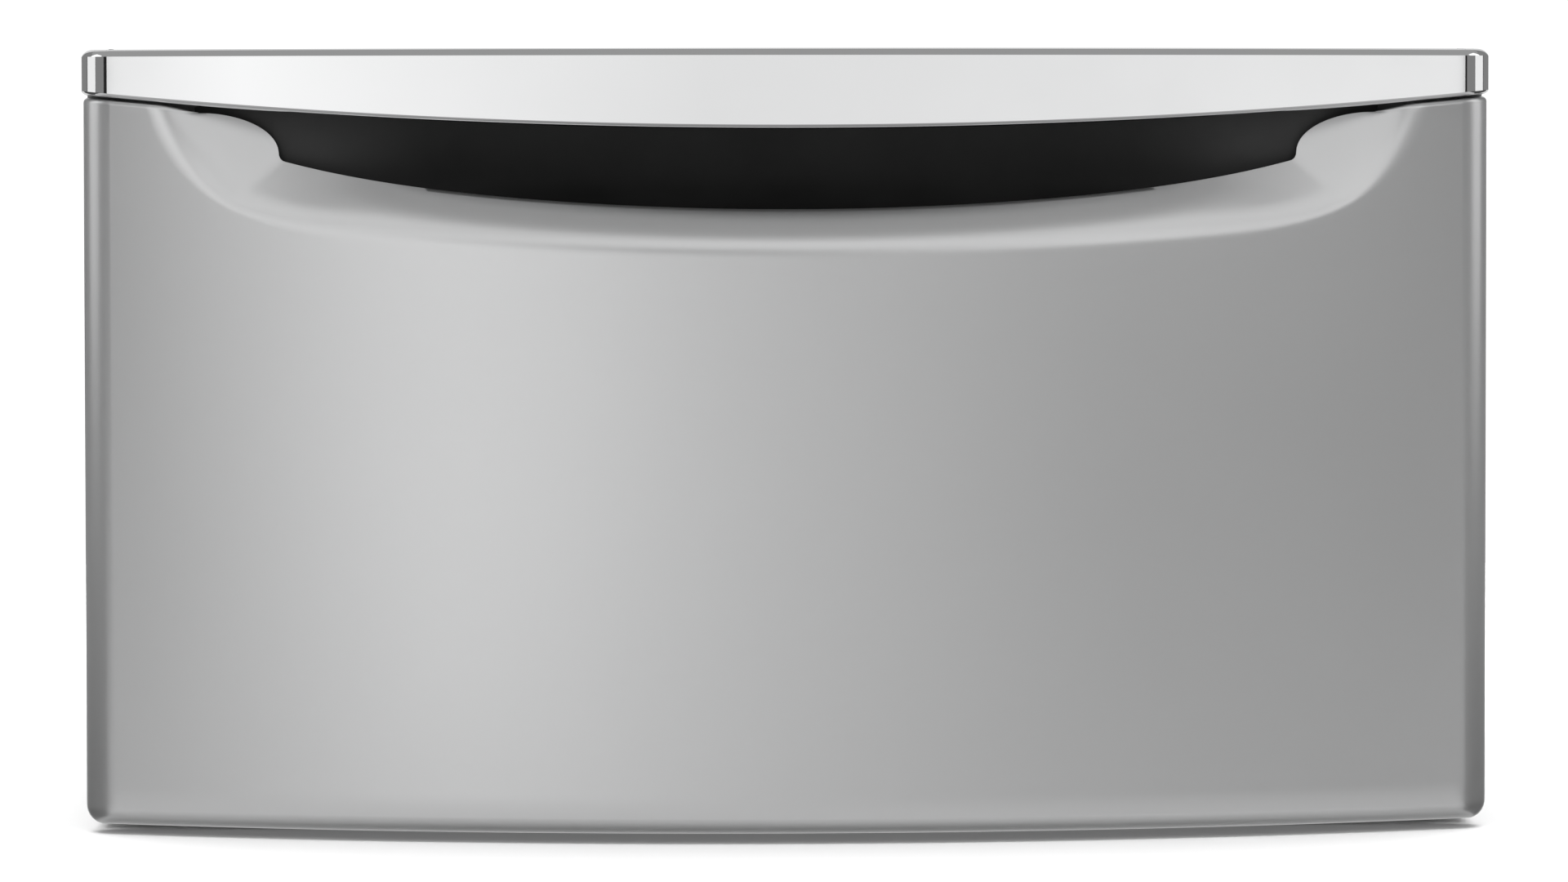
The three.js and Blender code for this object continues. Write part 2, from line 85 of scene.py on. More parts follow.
class Value:  # a socket that can stand in a sum
    def __init__(self, finish, socket):
        self.finish = finish
        self.socket = socket

    def __add__(self, other):
        return self.finish.maths("ADD", self, other)

    def __radd__(self, other):
        return self.finish.maths("ADD", other, self)

    def __sub__(self, other):
        return self.finish.maths("SUBTRACT", self, other)

    def __rsub__(self, other):
        return self.finish.maths("SUBTRACT", other, self)

    def __mul__(self, other):
        return self.finish.maths("MULTIPLY", self, other)

    def __rmul__(self, other):
        return self.finish.maths("MULTIPLY", other, self)


class Finish:  # one material and its nodes
    def __init__(self, name, constants):
        self.material = bpy.data.materials.new(name)
        self.material.use_nodes = True
        self.tree = self.material.node_tree
        self.shader = self.tree.nodes["Principled BSDF"]
        for socket, value in constants.items():
            self.shader.inputs[socket].default_value = value

    def node(self, kind, settings, inputs, output=0):
        made = self.tree.nodes.new(kind)
        for name, setting in settings.items():
            if name == "stops":
                ramp = made.color_ramp
                while len(ramp.elements) < len(setting):
                    ramp.elements.new(0.5)
                for stop, (position, colour) in zip(ramp.elements, setting):
                    stop.position = position
                    stop.color = colour
            else:
                setattr(made, name, setting)
        for name, value in inputs.items():
            self.feed(made.inputs[name], value)
        return Value(self, made.outputs[output])

    def maths(self, operation, first, second):
        return self.node("ShaderNodeMath", {"operation": operation}, {0: first, 1: second})

    def feed(self, socket, value):
        if isinstance(value, Value):
            self.tree.links.new(value.socket, socket)
        else:
            socket.default_value = value

    def place(self, scale=(1, 1, 1)):  # object coordinates, stretched
        coordinates = self.node("ShaderNodeTexCoord", {}, {}, "Object")
        return self.node("ShaderNodeMapping", {}, {"Vector": coordinates, "Scale": scale})

    def noise(self, scale, detail=2, stretch=(1, 1, 1)):
        inputs = {"Vector": self.place(stretch), "Scale": scale, "Detail": detail}
        return self.node("ShaderNodeTexNoise", {}, inputs)

    def blend(self, factor, first, second):
        return self.node("ShaderNodeMix", {"data_type": "RGBA"}, {0: factor, 6: first, 7: second}, 2)

    def spread(self, value, low, high):  # maps 0.3..0.7 of a noise onto a range, clamped
        return self.node("ShaderNodeMapRange", {}, {0: value, 1: 0.3, 2: 0.7, 3: low, 4: high})

    def bump(self, height, strength, distance):
        inputs = {"Height": height, "Strength": strength, "Distance": distance}
        self.set("Normal", self.node("ShaderNodeBump", {}, inputs, "Normal"))

    def set(self, socket, value):
        self.feed(self.shader.inputs[socket], value)


def grey(level, tint=0.0):  # a linear grey, a little blue for a positive tint
    return (level * (1 - tint), level, level * (1 + tint), 1)


def silverPaint(name, level, roughness, metallic):
    finish = Finish(name, {"Metallic": metallic})
    flake = finish.node("ShaderNodeTexVoronoi", {}, {"Vector": finish.place(), "Scale": 2600}, "Distance")
    cloud = finish.noise(3.5, 3)
    shade = finish.spread(flake * 0.3 + cloud * 0.8, 0, 1)
    finish.set("Base Color", finish.blend(shade, grey(level * 0.99, 0.004), grey(level * 1.01, 0.004)))
    finish.set("Roughness", finish.spread(finish.noise(9, 1), roughness - 0.006, roughness + 0.006))
    return finish.material


def powderCoat(name, level, roughness):
    finish = Finish(name, {"Specular IOR Level": 0.45})
    speck = finish.noise(1900, 2)
    cloud = finish.noise(5, 4)
    shade = finish.spread(speck * 0.55 + cloud * 0.45, 0, 1)
    finish.set("Base Color", finish.blend(shade, grey(level * 0.95), grey(level * 1.05)))
    finish.set("Roughness", finish.spread(cloud, roughness - 0.05, roughness + 0.05))
    finish.bump(finish.noise(1300, 2) + finish.noise(260, 1) * 0.6, 0.35, 0.00012)
    return finish.material


def brightChrome():
    finish = Finish("brightChrome", {"Metallic": 1.0})
    film = finish.noise(6, 4, (1, 1, 2.5))
    shade = finish.spread(film, 0, 1)
    finish.set("Base Color", finish.blend(shade, grey(0.885, 0.004), grey(0.905, 0.004)))
    finish.set("Roughness", finish.spread(finish.noise(24, 5), 0.035, 0.065))
    finish.bump(finish.noise(9, 1), 0.03, 0.0002)
    return finish.material


def zincPlate(name, level, roughness):
    finish = Finish(name, {"Metallic": 0.92})
    inputs = {"Vector": finish.place((1, 0.7, 1)), "Scale": 160}
    patch = finish.node("ShaderNodeTexVoronoi", {}, inputs, "Color")
    patchLevel = finish.node("ShaderNodeRGBToBW", {}, {0: patch})
    streak = finish.noise(90, 3, (1, 0.06, 1))
    shade = finish.spread(patchLevel * 0.12 + streak * 0.88, 0, 1)
    finish.set("Base Color", finish.blend(shade, grey(level * 0.94, 0.01), grey(level * 1.05, 0.02)))
    wear = patchLevel * 0.2 + streak * 0.8
    finish.set("Roughness", finish.spread(wear, roughness - 0.03, roughness + 0.05))
    finish.bump(streak, 0.05, 0.0001)
    return finish.material


def mouldedPlastic(name, level, roughness):
    finish = Finish(name, {"Specular IOR Level": 0.12})
    grain = finish.noise(1500, 3)
    cloud = finish.noise(18, 3)
    finish.set("Base Color", finish.blend(finish.spread(cloud, 0, 1), grey(level * 0.85), grey(level * 1.2)))
    finish.set("Roughness", finish.spread(grain * 0.5 + cloud * 0.5, roughness - 0.07, roughness + 0.07))
    finish.bump(grain, 0.25, 0.0001)
    return finish.material


def softRubber():
    finish = Finish("softRubber", {"Specular IOR Level": 0.3})
    grain = finish.noise(900, 4)
    finish.set("Base Color", finish.blend(finish.spread(finish.noise(60, 4), 0, 1), grey(0.010), grey(0.022)))
    finish.set("Roughness", finish.spread(grain, 0.72, 0.9))
    finish.bump(grain, 0.35, 0.00015)
    return finish.material


finishes = {
    "front_paint": silverPaint("frontPaint", 0.60, 0.285, 0.85),
    "cabinet_paint": silverPaint("cabinetPaint", 0.28, 0.46, 0.55),
    "box_paint": powderCoat("boxPaint", 0.40, 0.45),
    "bright_trim": brightChrome(),
    "black_plastic": mouldedPlastic("blackPlastic", 0.032, 0.5),
    "black_rubber": softRubber(),
    "slide_steel": zincPlate("slideSteel", 0.60, 0.30),
    "zinc_steel": zincPlate("zincSteel", 0.55, 0.42),
}
print("materials made")


# tools for modelling

def deselectAll():
    if bpy.context.object and bpy.context.object.mode != "OBJECT":
        bpy.ops.object.mode_set(mode="OBJECT")
    bpy.ops.object.select_all(action="DESELECT")


def makeActive(piece):
    deselectAll()
    piece.select_set(True)
    bpy.context.view_layer.objects.active = piece


def rest():  # applies the place of the active object to its mesh
    bpy.ops.object.transform_apply(location=True, rotation=True, scale=True)
    return bpy.context.object


def addBox(low, high):  # corners in millimetres
    deselectAll()
    low, high = Vector(low) * mm, Vector(high) * mm
    bpy.ops.mesh.primitive_cube_add(size=1, location=(low + high) / 2, scale=high - low)
    return rest()


axisTurns = {"X": (0, math.pi / 2, 0), "Y": (-math.pi / 2, 0, 0), "Z": (0, 0, 0)}


def addRod(centre, radius, length, axis="Z", count=32):
    deselectAll()
    place = Vector(centre) * mm
    bpy.ops.mesh.primitive_cylinder_add(
        vertices=count, radius=radius * mm, depth=length * mm, location=place, rotation=axisTurns[axis])
    return rest()


def addSheet(columns, rows, placeOf):  # a grid whose points are placed, in millimetres, by column and row
    deselectAll()
    bpy.ops.mesh.primitive_grid_add(x_subdivisions=columns - 1, y_subdivisions=rows - 1, size=1)
    piece = bpy.context.object
    for vertex in piece.data.vertices:
        column = round((vertex.co.x + 0.5) * (columns - 1))
        row = round((vertex.co.y + 0.5) * (rows - 1))
        vertex.co = Vector(placeOf(column, row)) * mm
    return piece


def pick(piece, kind, test):  # edit mode, with only what passes the test selected
    makeActive(piece)
    bpy.ops.object.mode_set(mode="EDIT")
    bpy.ops.mesh.select_mode(type=kind)
    bpy.ops.mesh.select_all(action="DESELECT")
    bpy.ops.object.mode_set(mode="OBJECT")
    mesh = piece.data
    items = {"FACE": mesh.polygons, "EDGE": mesh.edges, "VERT": mesh.vertices}[kind]
    for item in items:
        item.select = bool(test(item))
    bpy.ops.object.mode_set(mode="EDIT")


def leaveEdit():
    bpy.ops.object.mode_set(mode="OBJECT")


def inset(width, depth=0):  # insets the picked faces, and presses them in or out, in millimetres
    bpy.ops.mesh.inset(thickness=width * mm, depth=depth * mm)


def deletePicked():
    bpy.ops.mesh.delete(type="FACE")
    leaveEdit()


def edgeEnds(piece, edge):
    return [piece.data.vertices[index].co / mm for index in edge.vertices]


def run(piece, edge, axis):  # how far an edge runs along an axis, in millimetres
    one, two = edgeEnds(piece, edge)
    return abs(getattr(one - two, axis))


def innerEdges(piece):  # the edges between two faces
    count = {}
    for face in piece.data.polygons:
        for key in face.edge_keys:
            count[key] = count.get(key, 0) + 1
    return {key for key, faces in count.items() if faces == 2}


def facing(direction, limit=0.9):
    return lambda face: face.normal.dot(Vector(direction)) > limit


def bevelPicked(radius, segments=3):
    bpy.ops.mesh.bevel(offset=radius * mm, segments=segments, affect="EDGES", clamp_overlap=True)
    leaveEdit()


def applyModifier(piece, kind, **settings):
    makeActive(piece)
    modifier = piece.modifiers.new(kind.lower(), kind)
    for name, value in settings.items():
        setattr(modifier, name, value)
    bpy.ops.object.modifier_apply(modifier=modifier.name)
    return piece


def softenEdges(piece, radius, segments=2, angle=30):
    limit = math.radians(angle)
    return applyModifier(
        piece, "BEVEL", width=radius * mm, segments=segments, limit_method="ANGLE", angle_limit=limit)


def thicken(piece, thickness, even=True):
    return applyModifier(piece, "SOLIDIFY", thickness=thickness * mm, offset=-1, use_even_offset=even)


def mergeClose(piece, distance):
    makeActive(piece)
    bpy.ops.object.mode_set(mode="EDIT")
    bpy.ops.mesh.select_all(action="SELECT")
    bpy.ops.mesh.remove_doubles(threshold=distance * mm)
    leaveEdit()


def cutAway(piece, *cutters):
    for cutter in cutters:
        applyModifier(piece, "BOOLEAN", operation="DIFFERENCE", object=cutter, solver="EXACT")
        bpy.data.objects.remove(cutter)
    return piece


def joinPieces(pieces):
    makeActive(pieces[0])
    for piece in pieces[1:]:
        piece.select_set(True)
    bpy.ops.object.join()
    return bpy.context.object


def copyPiece(piece, change):  # a copy with its own mesh, moved by a matrix in millimetres
    made = bpy.data.objects.new(piece.name, piece.data.copy())
    bpy.context.scene.collection.objects.link(made)
    step = change.copy()
    step.translation *= mm
    made.data.transform(step)
    return made


def fit(piece, name, body, slot, replaces=(), angle=35, flat=True):
    makeActive(piece)
    piece.name = piece.data.name = name
    bpy.ops.object.shade_smooth_by_angle(angle=math.radians(angle))
    if flat:
        applyModifier(piece, "WEIGHTED_NORMAL", weight=80, keep_sharp=True)
    piece.data.materials.clear()
    piece.data.materials.append(finishes[slot])
    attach(piece, body)
    if replaces:
        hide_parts(*replaces)
    return piece


# the bowed front: curves that the skin, the trim and the finger cup share

trimLow, trimHigh = cornersOf("handle_trim")
skinLow, skinHigh = cornersOf("drawer_front_skin")
front = {
    "half": trimHigh.x,
    "face": trimLow.y,
    "rear": trimHigh.y,
    "bow": 60,
    "rollWidth": 13.5,
    "rollDepth": 12,
    "trimEdge": trimLow.z,
    "trimCurve": 3537,
    "top": trimHigh.z,
    "bottom": skinLow.z,
    "inset": trimHigh.x - skinHigh.x,
}
bowRadius = (front["half"] ** 2 + front["bow"] ** 2) / (2 * front["bow"])


def bowAt(x):
    return bowRadius - math.sqrt(bowRadius ** 2 - x ** 2)


def trimEdgeAt(x):
    return front["trimEdge"] + x ** 2 / (2 * front["trimCurve"])


def ease(value, start, end):
    part = min(max((value - start) / (end - start), 0), 1)
    return part * part * (3 - 2 * part)


def mix(first, second, part):
    return first + (second - first) * part


def along(points, part):  # the point at a share of a line's length
    lengths = [0]
    for one, two in zip(points, points[1:]):
        lengths.append(lengths[-1] + math.dist(one, two))
    goal = min(max(part, 0), 1) * lengths[-1]
    for index in range(1, len(points)):
        if lengths[index] >= goal:
            step = lengths[index] - lengths[index - 1]
            share = (goal - lengths[index - 1]) / step if step else 0
            one, two = points[index - 1], points[index]
            return mix(one[0], two[0], share), mix(one[1], two[1], share)
    return points[-1]


skinShape = {
    "topGap": 1.0,
    "topRound": 2.4,
    "flange": 9,
    "bottomRoll": 8,
    "corner": 9,
    "creaseCorner": 2,
    "creaseAngle": 6,
    "lipLow": 279.5,
    "creaseLow": 288.5,
    "pocketLow": 303.5,
    "lipSpread": 5100,
    "pocketSpread": 3220,
    "creaseDepth": (1.8, 6.5),
    "lipEnd": (180, 132, 70, 0.54),  # where the line starts to rise, its reach, its rise, its power
    "creaseEnd": (205, 94, 64, 0.44),
    "pocketCorner": 242,
    "pocketSide": 246,
    "pocketReach": 39,
    "pocketLift": 4.5,
    "pocketFoot": 4,
    "pocketDepth": 14,
    "pocketHem": (5, 1.5),
    "bowlSlope": 0.45,
    "bowlBend": 0.5,  # the share of the bowl's width over which it bends away from the face
    "sheet": 0.8,
}


def skinTopAt(x):
    return trimEdgeAt(x) - skinShape["topGap"] - skinShape["topRound"]


def risingCurve(low, spread, start, reach, rise, power):
    # a shallow curve that turns up at its end, from the middle to the trim's edge
    points = [(start * step / 60, low + (start * step / 60) ** 2 / spread) for step in range(60)]
    for step in range(241):
        turn = math.pi / 2 * (step / 240) ** 1.8
        x = start + reach * math.sin(turn) ** power
        z = low + x ** 2 / spread + rise * (1 - math.cos(turn))
        if z > skinTopAt(x):
            break
        points.append((x, z))
    points.append((x, skinTopAt(x)))
    return points


def pocketCurve():
    corner, side, reach = skinShape["pocketCorner"], skinShape["pocketSide"], skinShape["pocketReach"]
    spread, low, lift = skinShape["pocketSpread"], skinShape["pocketLow"], skinShape["pocketLift"]
    points = [(corner * step / 80, low + (corner * step / 80) ** 2 / spread + lift * (step / 80) ** 6)
              for step in range(81)]
    radius = skinShape["pocketFoot"]
    foot = points[-1][1] + radius
    points += [(corner + radius * math.sin(turn), foot - radius * math.cos(turn)) for turn in (0.4, 0.8, 1.2)]
    top = skinTopAt(side + reach)
    for step in range(41):
        turn = math.pi / 2 * step / 40
        points.append((side + reach * (1 - math.cos(turn)), mix(foot, top, math.sin(turn))))
    return points


lipLine = risingCurve(skinShape["lipLow"], skinShape["lipSpread"], *skinShape["lipEnd"])
creaseLine = risingCurve(skinShape["creaseLow"], skinShape["lipSpread"], *skinShape["creaseEnd"])
pocketLine = pocketCurve()

# columns of the skin's grid, from the middle to the top right: bottom edge, corner, side
skinColumns = [("bottom", step / 84, 0.79 * step / 84) for step in range(84)]
skinColumns += [("corner", step / 8, 0.79 + 0.02 * step / 8) for step in range(8)]
skinColumns += [("side", step / 34, 0.81 + 0.19 * step / 34) for step in range(35)]
topColumns = 7


def borderPoint(segment, share, inward):
    # a point on the outline, at the face's edge for inward 1 and at the silhouette for inward 0
    half = skinHigh.x - front["rollWidth"] * inward
    low = front["bottom"] + skinShape["bottomRoll"] * inward
    corner = mix(skinShape["corner"], skinShape["creaseCorner"], inward)
    if segment == "bottom":
        return (half - corner) * share, low, 0
    if segment == "corner":
        turn = math.pi / 2 * share
        return half - corner * (1 - math.sin(turn)), low + corner * (1 - math.cos(turn)), share
    return half, mix(low + corner, skinTopAt(half), share), 1


def skinProfile(column):
    # all points of one column, from the hem behind the pocket to the rear edge
    segment, share, part = column
    lip = along(lipLine, part)
    crease = along(creaseLine, part)
    pocket = along(pocketLine, part)
    creaseDepth = mix(*skinShape["creaseDepth"], ease(part, 0.76, 0.94))
    smooth, bend = ease(part, 0.60, 0.76), skinShape["bowlBend"]
    lipWidth = math.dist(lip, crease)
    wide = lipWidth + math.dist(crease, pocket)
    creaseAt = lipWidth / wide
    pocketDepth = mix(skinShape["pocketDepth"], skinShape["bowlSlope"] * (1 - bend / 2) * wide, smooth)
    face = front["face"] + front["inset"]
    points = []

    def put(x, z, depth):
        points.append(Vector((x, face + bowAt(x) + depth, z)))

    def dip(across, creased):  # creased along the middle of the scoop, smooth at its ends
        bent = across ** 2 / (2 * bend) if across < bend else across - bend / 2
        return mix(creased, pocketDepth * bent / (1 - bend / 2), smooth)

    hem = mix(*skinShape["pocketHem"], smooth)
    for back in (hem, hem * 0.6, hem * 0.3):
        put(pocket[0], pocket[1], pocketDepth + back)
    for step in range(12):
        q = step / 12
        depth = mix(pocketDepth, creaseDepth, q + 0.45 * q * (1 - q))
        put(mix(pocket[0], crease[0], q), mix(pocket[1], crease[1], q), dip(mix(1, creaseAt, q), depth))
    swing = 0.6
    for step in range(12):
        q = 1 - step / 12
        depth = creaseDepth * (1 - math.sqrt(1 - (swing * q) ** 2)) / (1 - math.sqrt(1 - swing ** 2))
        put(mix(lip[0], crease[0], q), mix(lip[1], crease[1], q), dip(creaseAt * q, depth))
    border = borderPoint(segment, share, 1)
    for step in range(26):
        q = step / 26
        put(mix(lip[0], border[0], q), mix(lip[1], border[1], q), 0)
    start = math.radians(skinShape["creaseAngle"])
    for step in range(15):
        turn = mix(start, math.pi / 2, step / 14)
        inward = (1 - math.sin(turn)) / (1 - math.sin(start))
        x, z, sideways = borderPoint(segment, share, inward)
        reach = mix(skinShape["bottomRoll"], front["rollDepth"], sideways)
        put(x, z, reach * (math.cos(start) - math.cos(turn)) / math.cos(start))
    x, y, z = points[-1]
    for step in (1, 2, 3):
        points.append(Vector((x, mix(y, front["rear"], step / 3), z)))
    return points


def skinTop(points):
    # carries the last column over a rounded top edge and back along a flange
    made = []
    back = skinShape["flange"]
    for index, point in enumerate(points):
        radius = mix(0.25, skinShape["topRound"], ease(index, 2, 20))
        # the hem behind the pocket keeps the bowl's direction
        ahead = points[min(max(index, 5) + 1, len(points) - 1)]
        behind = points[max(index, 5) - 1]
        across = ahead - behind
        outward = Vector((-across.y, across.x, 0))
        if outward.length < 0.001:
            outward = Vector((0, -1, 0))
        outward.normalize()
        if outward.dot(Vector((1, -1, 0))) < 0:
            outward.negate()
        column = []
        for step in range(1, topColumns):
            turn = math.pi / 2 * step / (topColumns - 1)
            rise = radius * Vector((0, 0, math.sin(turn)))
            column.append(point + rise - radius * (1 - math.cos(turn)) * outward)
        last = column[-1] - back * outward
        last.y = min(last.y, front["rear"])
        column.append(last)
        made.append(column)
    return [[column[step] for column in made] for step in range(topColumns)]


def buildSkin():
    right = [skinProfile(column) for column in skinColumns]
    right += skinTop(right[-1])
    left = [[Vector((-point.x, point.y, point.z)) for point in points] for points in reversed(right[1:])]
    table = left + right
    skin = addSheet(len(table), len(table[0]), lambda column, row: table[column][row])
    if skin.data.polygons[len(skin.data.polygons) // 2].normal.y > 0:
        skin.data.flip_normals()
    thicken(skin, skinShape["sheet"], False)
    return fit(skin, "drawer_skin", "drawer", "front_paint", ["drawer_front_skin"], 50, False)


buildSkin()
print("drawer skin made")


# the bright trim along the top

trimShape = {
    "topRound": 6.0,
    "lowRound": 3.8,
    "kink": 25,  # the slope that the rounded edges start with, in degrees
    "lip": 9,
    "rollSteps": 14,
    "wall": 1.6,
}


def trimPlan():
    # the trim's outline seen from above, from the rear left round the front to the rear right
    half, face, width, depth = front["half"], front["face"], front["rollWidth"], front["rollDepth"]
    knee = half - width
    rollEnd = face + bowAt(half) + depth
    points = [(half, mix(front["rear"], rollEnd, step / 3)) for step in range(3)]
    for step in range(trimShape["rollSteps"]):
        turn = math.pi / 2 * (1 - step / trimShape["rollSteps"])
        x = knee + width * math.sin(turn)
        points.append((x, face + bowAt(x) + depth * (1 - math.cos(turn))))
    points += [(knee * math.cos(math.pi / 2 * step / 60) ** 0.8, 0) for step in range(60)]
    points = [(x, y if y else face + bowAt(x)) for x, y in points]
    return [(-x, y) for x, y in points] + [(0, face)] + list(reversed(points))


def buildTrim():
    plan = trimPlan()
    inward = []
    for index, (x, y) in enumerate(plan):
        one = plan[max(index - 1, 0)]
        two = plan[min(index + 1, len(plan) - 1)]
        across = Vector((two[0] - one[0], two[1] - one[1]))
        inward.append(Vector((-across.y, across.x)).normalized())
    knee = front["half"] - front["rollWidth"]
    low, top = trimShape["lowRound"], trimShape["topRound"]
    corner = 3 + trimShape["rollSteps"]
    kink = math.radians(trimShape["kink"])
    share, left = 1 - math.sin(kink), math.cos(kink)
    profile = [("low", low * left + trimShape["lip"], 0), ("low", low * left + 4, 0)]
    for step in range(8):
        turn = (math.pi / 2 - kink) * step / 7
        profile.append(("low", low * (left - math.sin(turn)), low * (1 - math.cos(turn))))
    profile += [("face", 0, step / 6) for step in range(1, 6)]
    for step in range(11):
        turn = mix(kink, math.pi / 2, step / 10)
        profile.append(("top", top * (left - math.cos(turn)), top * (1 - math.sin(turn))))
    profile += [("plate", step / 3, 0) for step in (1, 2, 3)]

    def place(column, row):
        x, y = plan[column]
        kind, inset, height = profile[row]
        away = inward[column]
        edge = trimEdgeAt(x)
        if kind == "low":
            return x + away.x * inset, y + away.y * inset, edge + height
        if kind == "face":
            return x, y, mix(edge + low * share, front["top"] - top * share, height)
        if kind == "top":
            return x + away.x * inset, y + away.y * inset, front["top"] - height
        rimX, rimY = x + away.x * top * left, y + away.y * top * left
        part = min(column, len(plan) - 1 - column) / corner
        rearX = math.copysign(mix(front["half"] - top, knee, part), x) if part < 1 else rimX
        return mix(rimX, rearX, inset), mix(rimY, front["rear"], inset), front["top"]

    trim = addSheet(len(plan), len(profile), place)
    middle = trim.data.polygons[len(trim.data.polygons) // 2]
    if middle.normal.y > 0:
        trim.data.flip_normals()
    mergeClose(trim, 0.01)
    thicken(trim, trimShape["wall"], False)
    return fit(trim, "bright_handle_trim", "drawer", "bright_trim", ["handle_trim"], 18, False)


buildTrim()
print("trim made")


# the black finger cup behind the scoop

cupShape = {
    "wall": 1.6,
    "half": 249,
    "flange": 38,
    "flangeTop": 353,
    "flangeDrop": 5,
    "mouth": 21,
    "round": 20,
    "taper": 110,  # the length over which each end grows shallow
    "endDepth": 0.4,
    "floorRise": 7,
}


def buildCup():
    cupLow, cupHigh = cornersOf("finger_cup")
    half, mouth, rear = cupShape["half"], front["face"] + cupShape["mouth"], cupHigh.y - 2
    reach = half + cupShape["flange"]
    cup = addBox((-half, mouth, cupLow.z + cupShape["floorRise"]), (half, rear, cupHigh.z))
    pick(cup, "FACE", facing((0, -1, 0)))
    deletePicked()
    pick(cup, "EDGE", lambda edge: max(end.y for end in edgeEnds(cup, edge)) > mouth + 5)
    bevelPicked(cupShape["round"], 7)
    pick(cup, "EDGE", lambda edge: max(end.y for end in edgeEnds(cup, edge)) < mouth + 0.1
         and min(end.z for end in edgeEnds(cup, edge)) < cupHigh.z - 12)
    bpy.ops.mesh.extrude_region_move()
    leaveEdit()
    for vertex in cup.data.vertices:  # the new rim becomes a flange behind the skin
        if vertex.select:
            vertex.co.x *= reach / half
            raised = vertex.co.z > (cupLow.z + cupHigh.z) / 2 * mm
            vertex.co.z = cupShape["flangeTop"] * mm if raised else vertex.co.z - cupShape["flangeDrop"] * mm
    pick(cup, "EDGE", lambda edge: run(cup, edge, "x") > 100)
    bpy.ops.mesh.subdivide(number_cuts=59)
    leaveEdit()
    for vertex in cup.data.vertices:  # the mouth follows the bow, and the back comes forward at both ends
        x = min(abs(vertex.co.x / mm), reach)
        share = (vertex.co.y / mm - mouth) / (rear - mouth)
        mouthHere = mouth + bowAt(x)
        rearHere = mix(rear, mouthHere + cupShape["endDepth"], ease(x, half - cupShape["taper"], half))
        vertex.co.y = mix(mouthHere, rearHere, share) * mm
    thicken(cup, cupShape["wall"], False)
    return fit(cup, "black_finger_cup", "drawer", "black_plastic", ["finger_cup"], 60, False)


buildCup()
print("finger cup made")


# folded sheet metal: a box with open faces and rounded bends

def foldedBox(low, high, openFaces, bend):
    shell = addBox(low, high)
    pick(shell, "FACE", lambda face: any(face.normal.dot(Vector(way)) > 0.9 for way in openFaces))
    deletePicked()
    folds = innerEdges(shell)
    pick(shell, "EDGE", lambda edge: edge.key in folds)
    bevelPicked(bend, 4)
    return shell


def pressField(shell, direction, margin, depth, draft=2.5):  # presses the middle of a flat wall in or out
    limit = max(face.area for face in shell.data.polygons if face.normal.dot(Vector(direction)) > 0.99)
    pick(shell, "FACE", lambda face: face.normal.dot(Vector(direction)) > 0.99 and face.area > limit * 0.99)
    inset(margin)
    inset(draft, depth)
    leaveEdit()
    return shell


def panHeadScrew(place, axis, radius=4.2, height=2.2):  # a screw head with a round recess
    head = addRod(place, radius, height, axis, 20)
    out = {"X": Vector((1, 0, 0)), "Y": Vector((0, 1, 0)), "Z": Vector((0, 0, 1))}[axis]
    centre = Vector(place)
    rim = height * 0.4
    pick(head, "EDGE", lambda edge: all((end - centre).dot(out) > rim for end in edgeEnds(head, edge)))
    bevelPicked(height * 0.45, 3)
    pick(head, "FACE", facing(out, 0.995))
    inset(radius * 0.28)
    inset(0.15, -height * 0.5)
    leaveEdit()
    return head


def screwGroup(name, body, places, axis, flip=False, radius=4.2):
    first = panHeadScrew((0, 0, 0), axis, radius)
    if flip:
        half = Matrix.Rotation(math.pi, 4, "X" if axis != "X" else "Y")
        first.data.transform(half)
    heads = [copyPiece(first, Matrix.Translation(Vector(place))) for place in places]
    bpy.data.objects.remove(first)
    return fit(joinPieces(heads), name, body, "zinc_steel", (), 40)


sideNames = {"left": -1, "right": 1}

# the side panels

sideShape = {
    "bend": 3.5,
    "wall": 0.9,
    "margin": 44,
    "rise": 1.6,
    "screwIn": 13,
    "screwLow": 24,
    "screwHigh": 28,
}


def buildSidePanel(name, side):
    low, high = cornersOf(f"side_panel_{name}")
    shell = foldedBox(low, high, [(-side, 0, 0)], sideShape["bend"])
    pressField(shell, (side, 0, 0), sideShape["margin"], sideShape["rise"])
    softenEdges(shell, 1.4, 3, 20)
    thicken(shell, sideShape["wall"])
    fit(shell, f"cabinet_side_{name}", "cabinet", "cabinet_paint", [f"side_panel_{name}"], 40)
    outer = max(abs(low.x), abs(high.x))
    across = sideShape["screwIn"]
    heights = (low.z + sideShape["screwLow"], high.z - sideShape["screwHigh"])
    places = [(side * (outer + 0.1), y, z) for y in (low.y + across, high.y - across) for z in heights]
    screwGroup(f"side_screws_{name}", "cabinet", places, "X", side < 0, 3.6)


for name, side in sideNames.items():
    buildSidePanel(name, side)
print("side panels made")

# the rear panel, with two rows of vents and screws round its rim

rearShape = {
    "bend": 3,
    "wall": 0.9,
    "margin": 30,
    "press": 3,
    "ventXs": (-180, -120, -60, 0, 60, 120, 180),
    "ventZs": (70, 84, 98),  # above the middle
    "ventLength": 44,
    "ventHeight": 4,
    "screwXs": (-310, -155, 0, 155, 310),
}


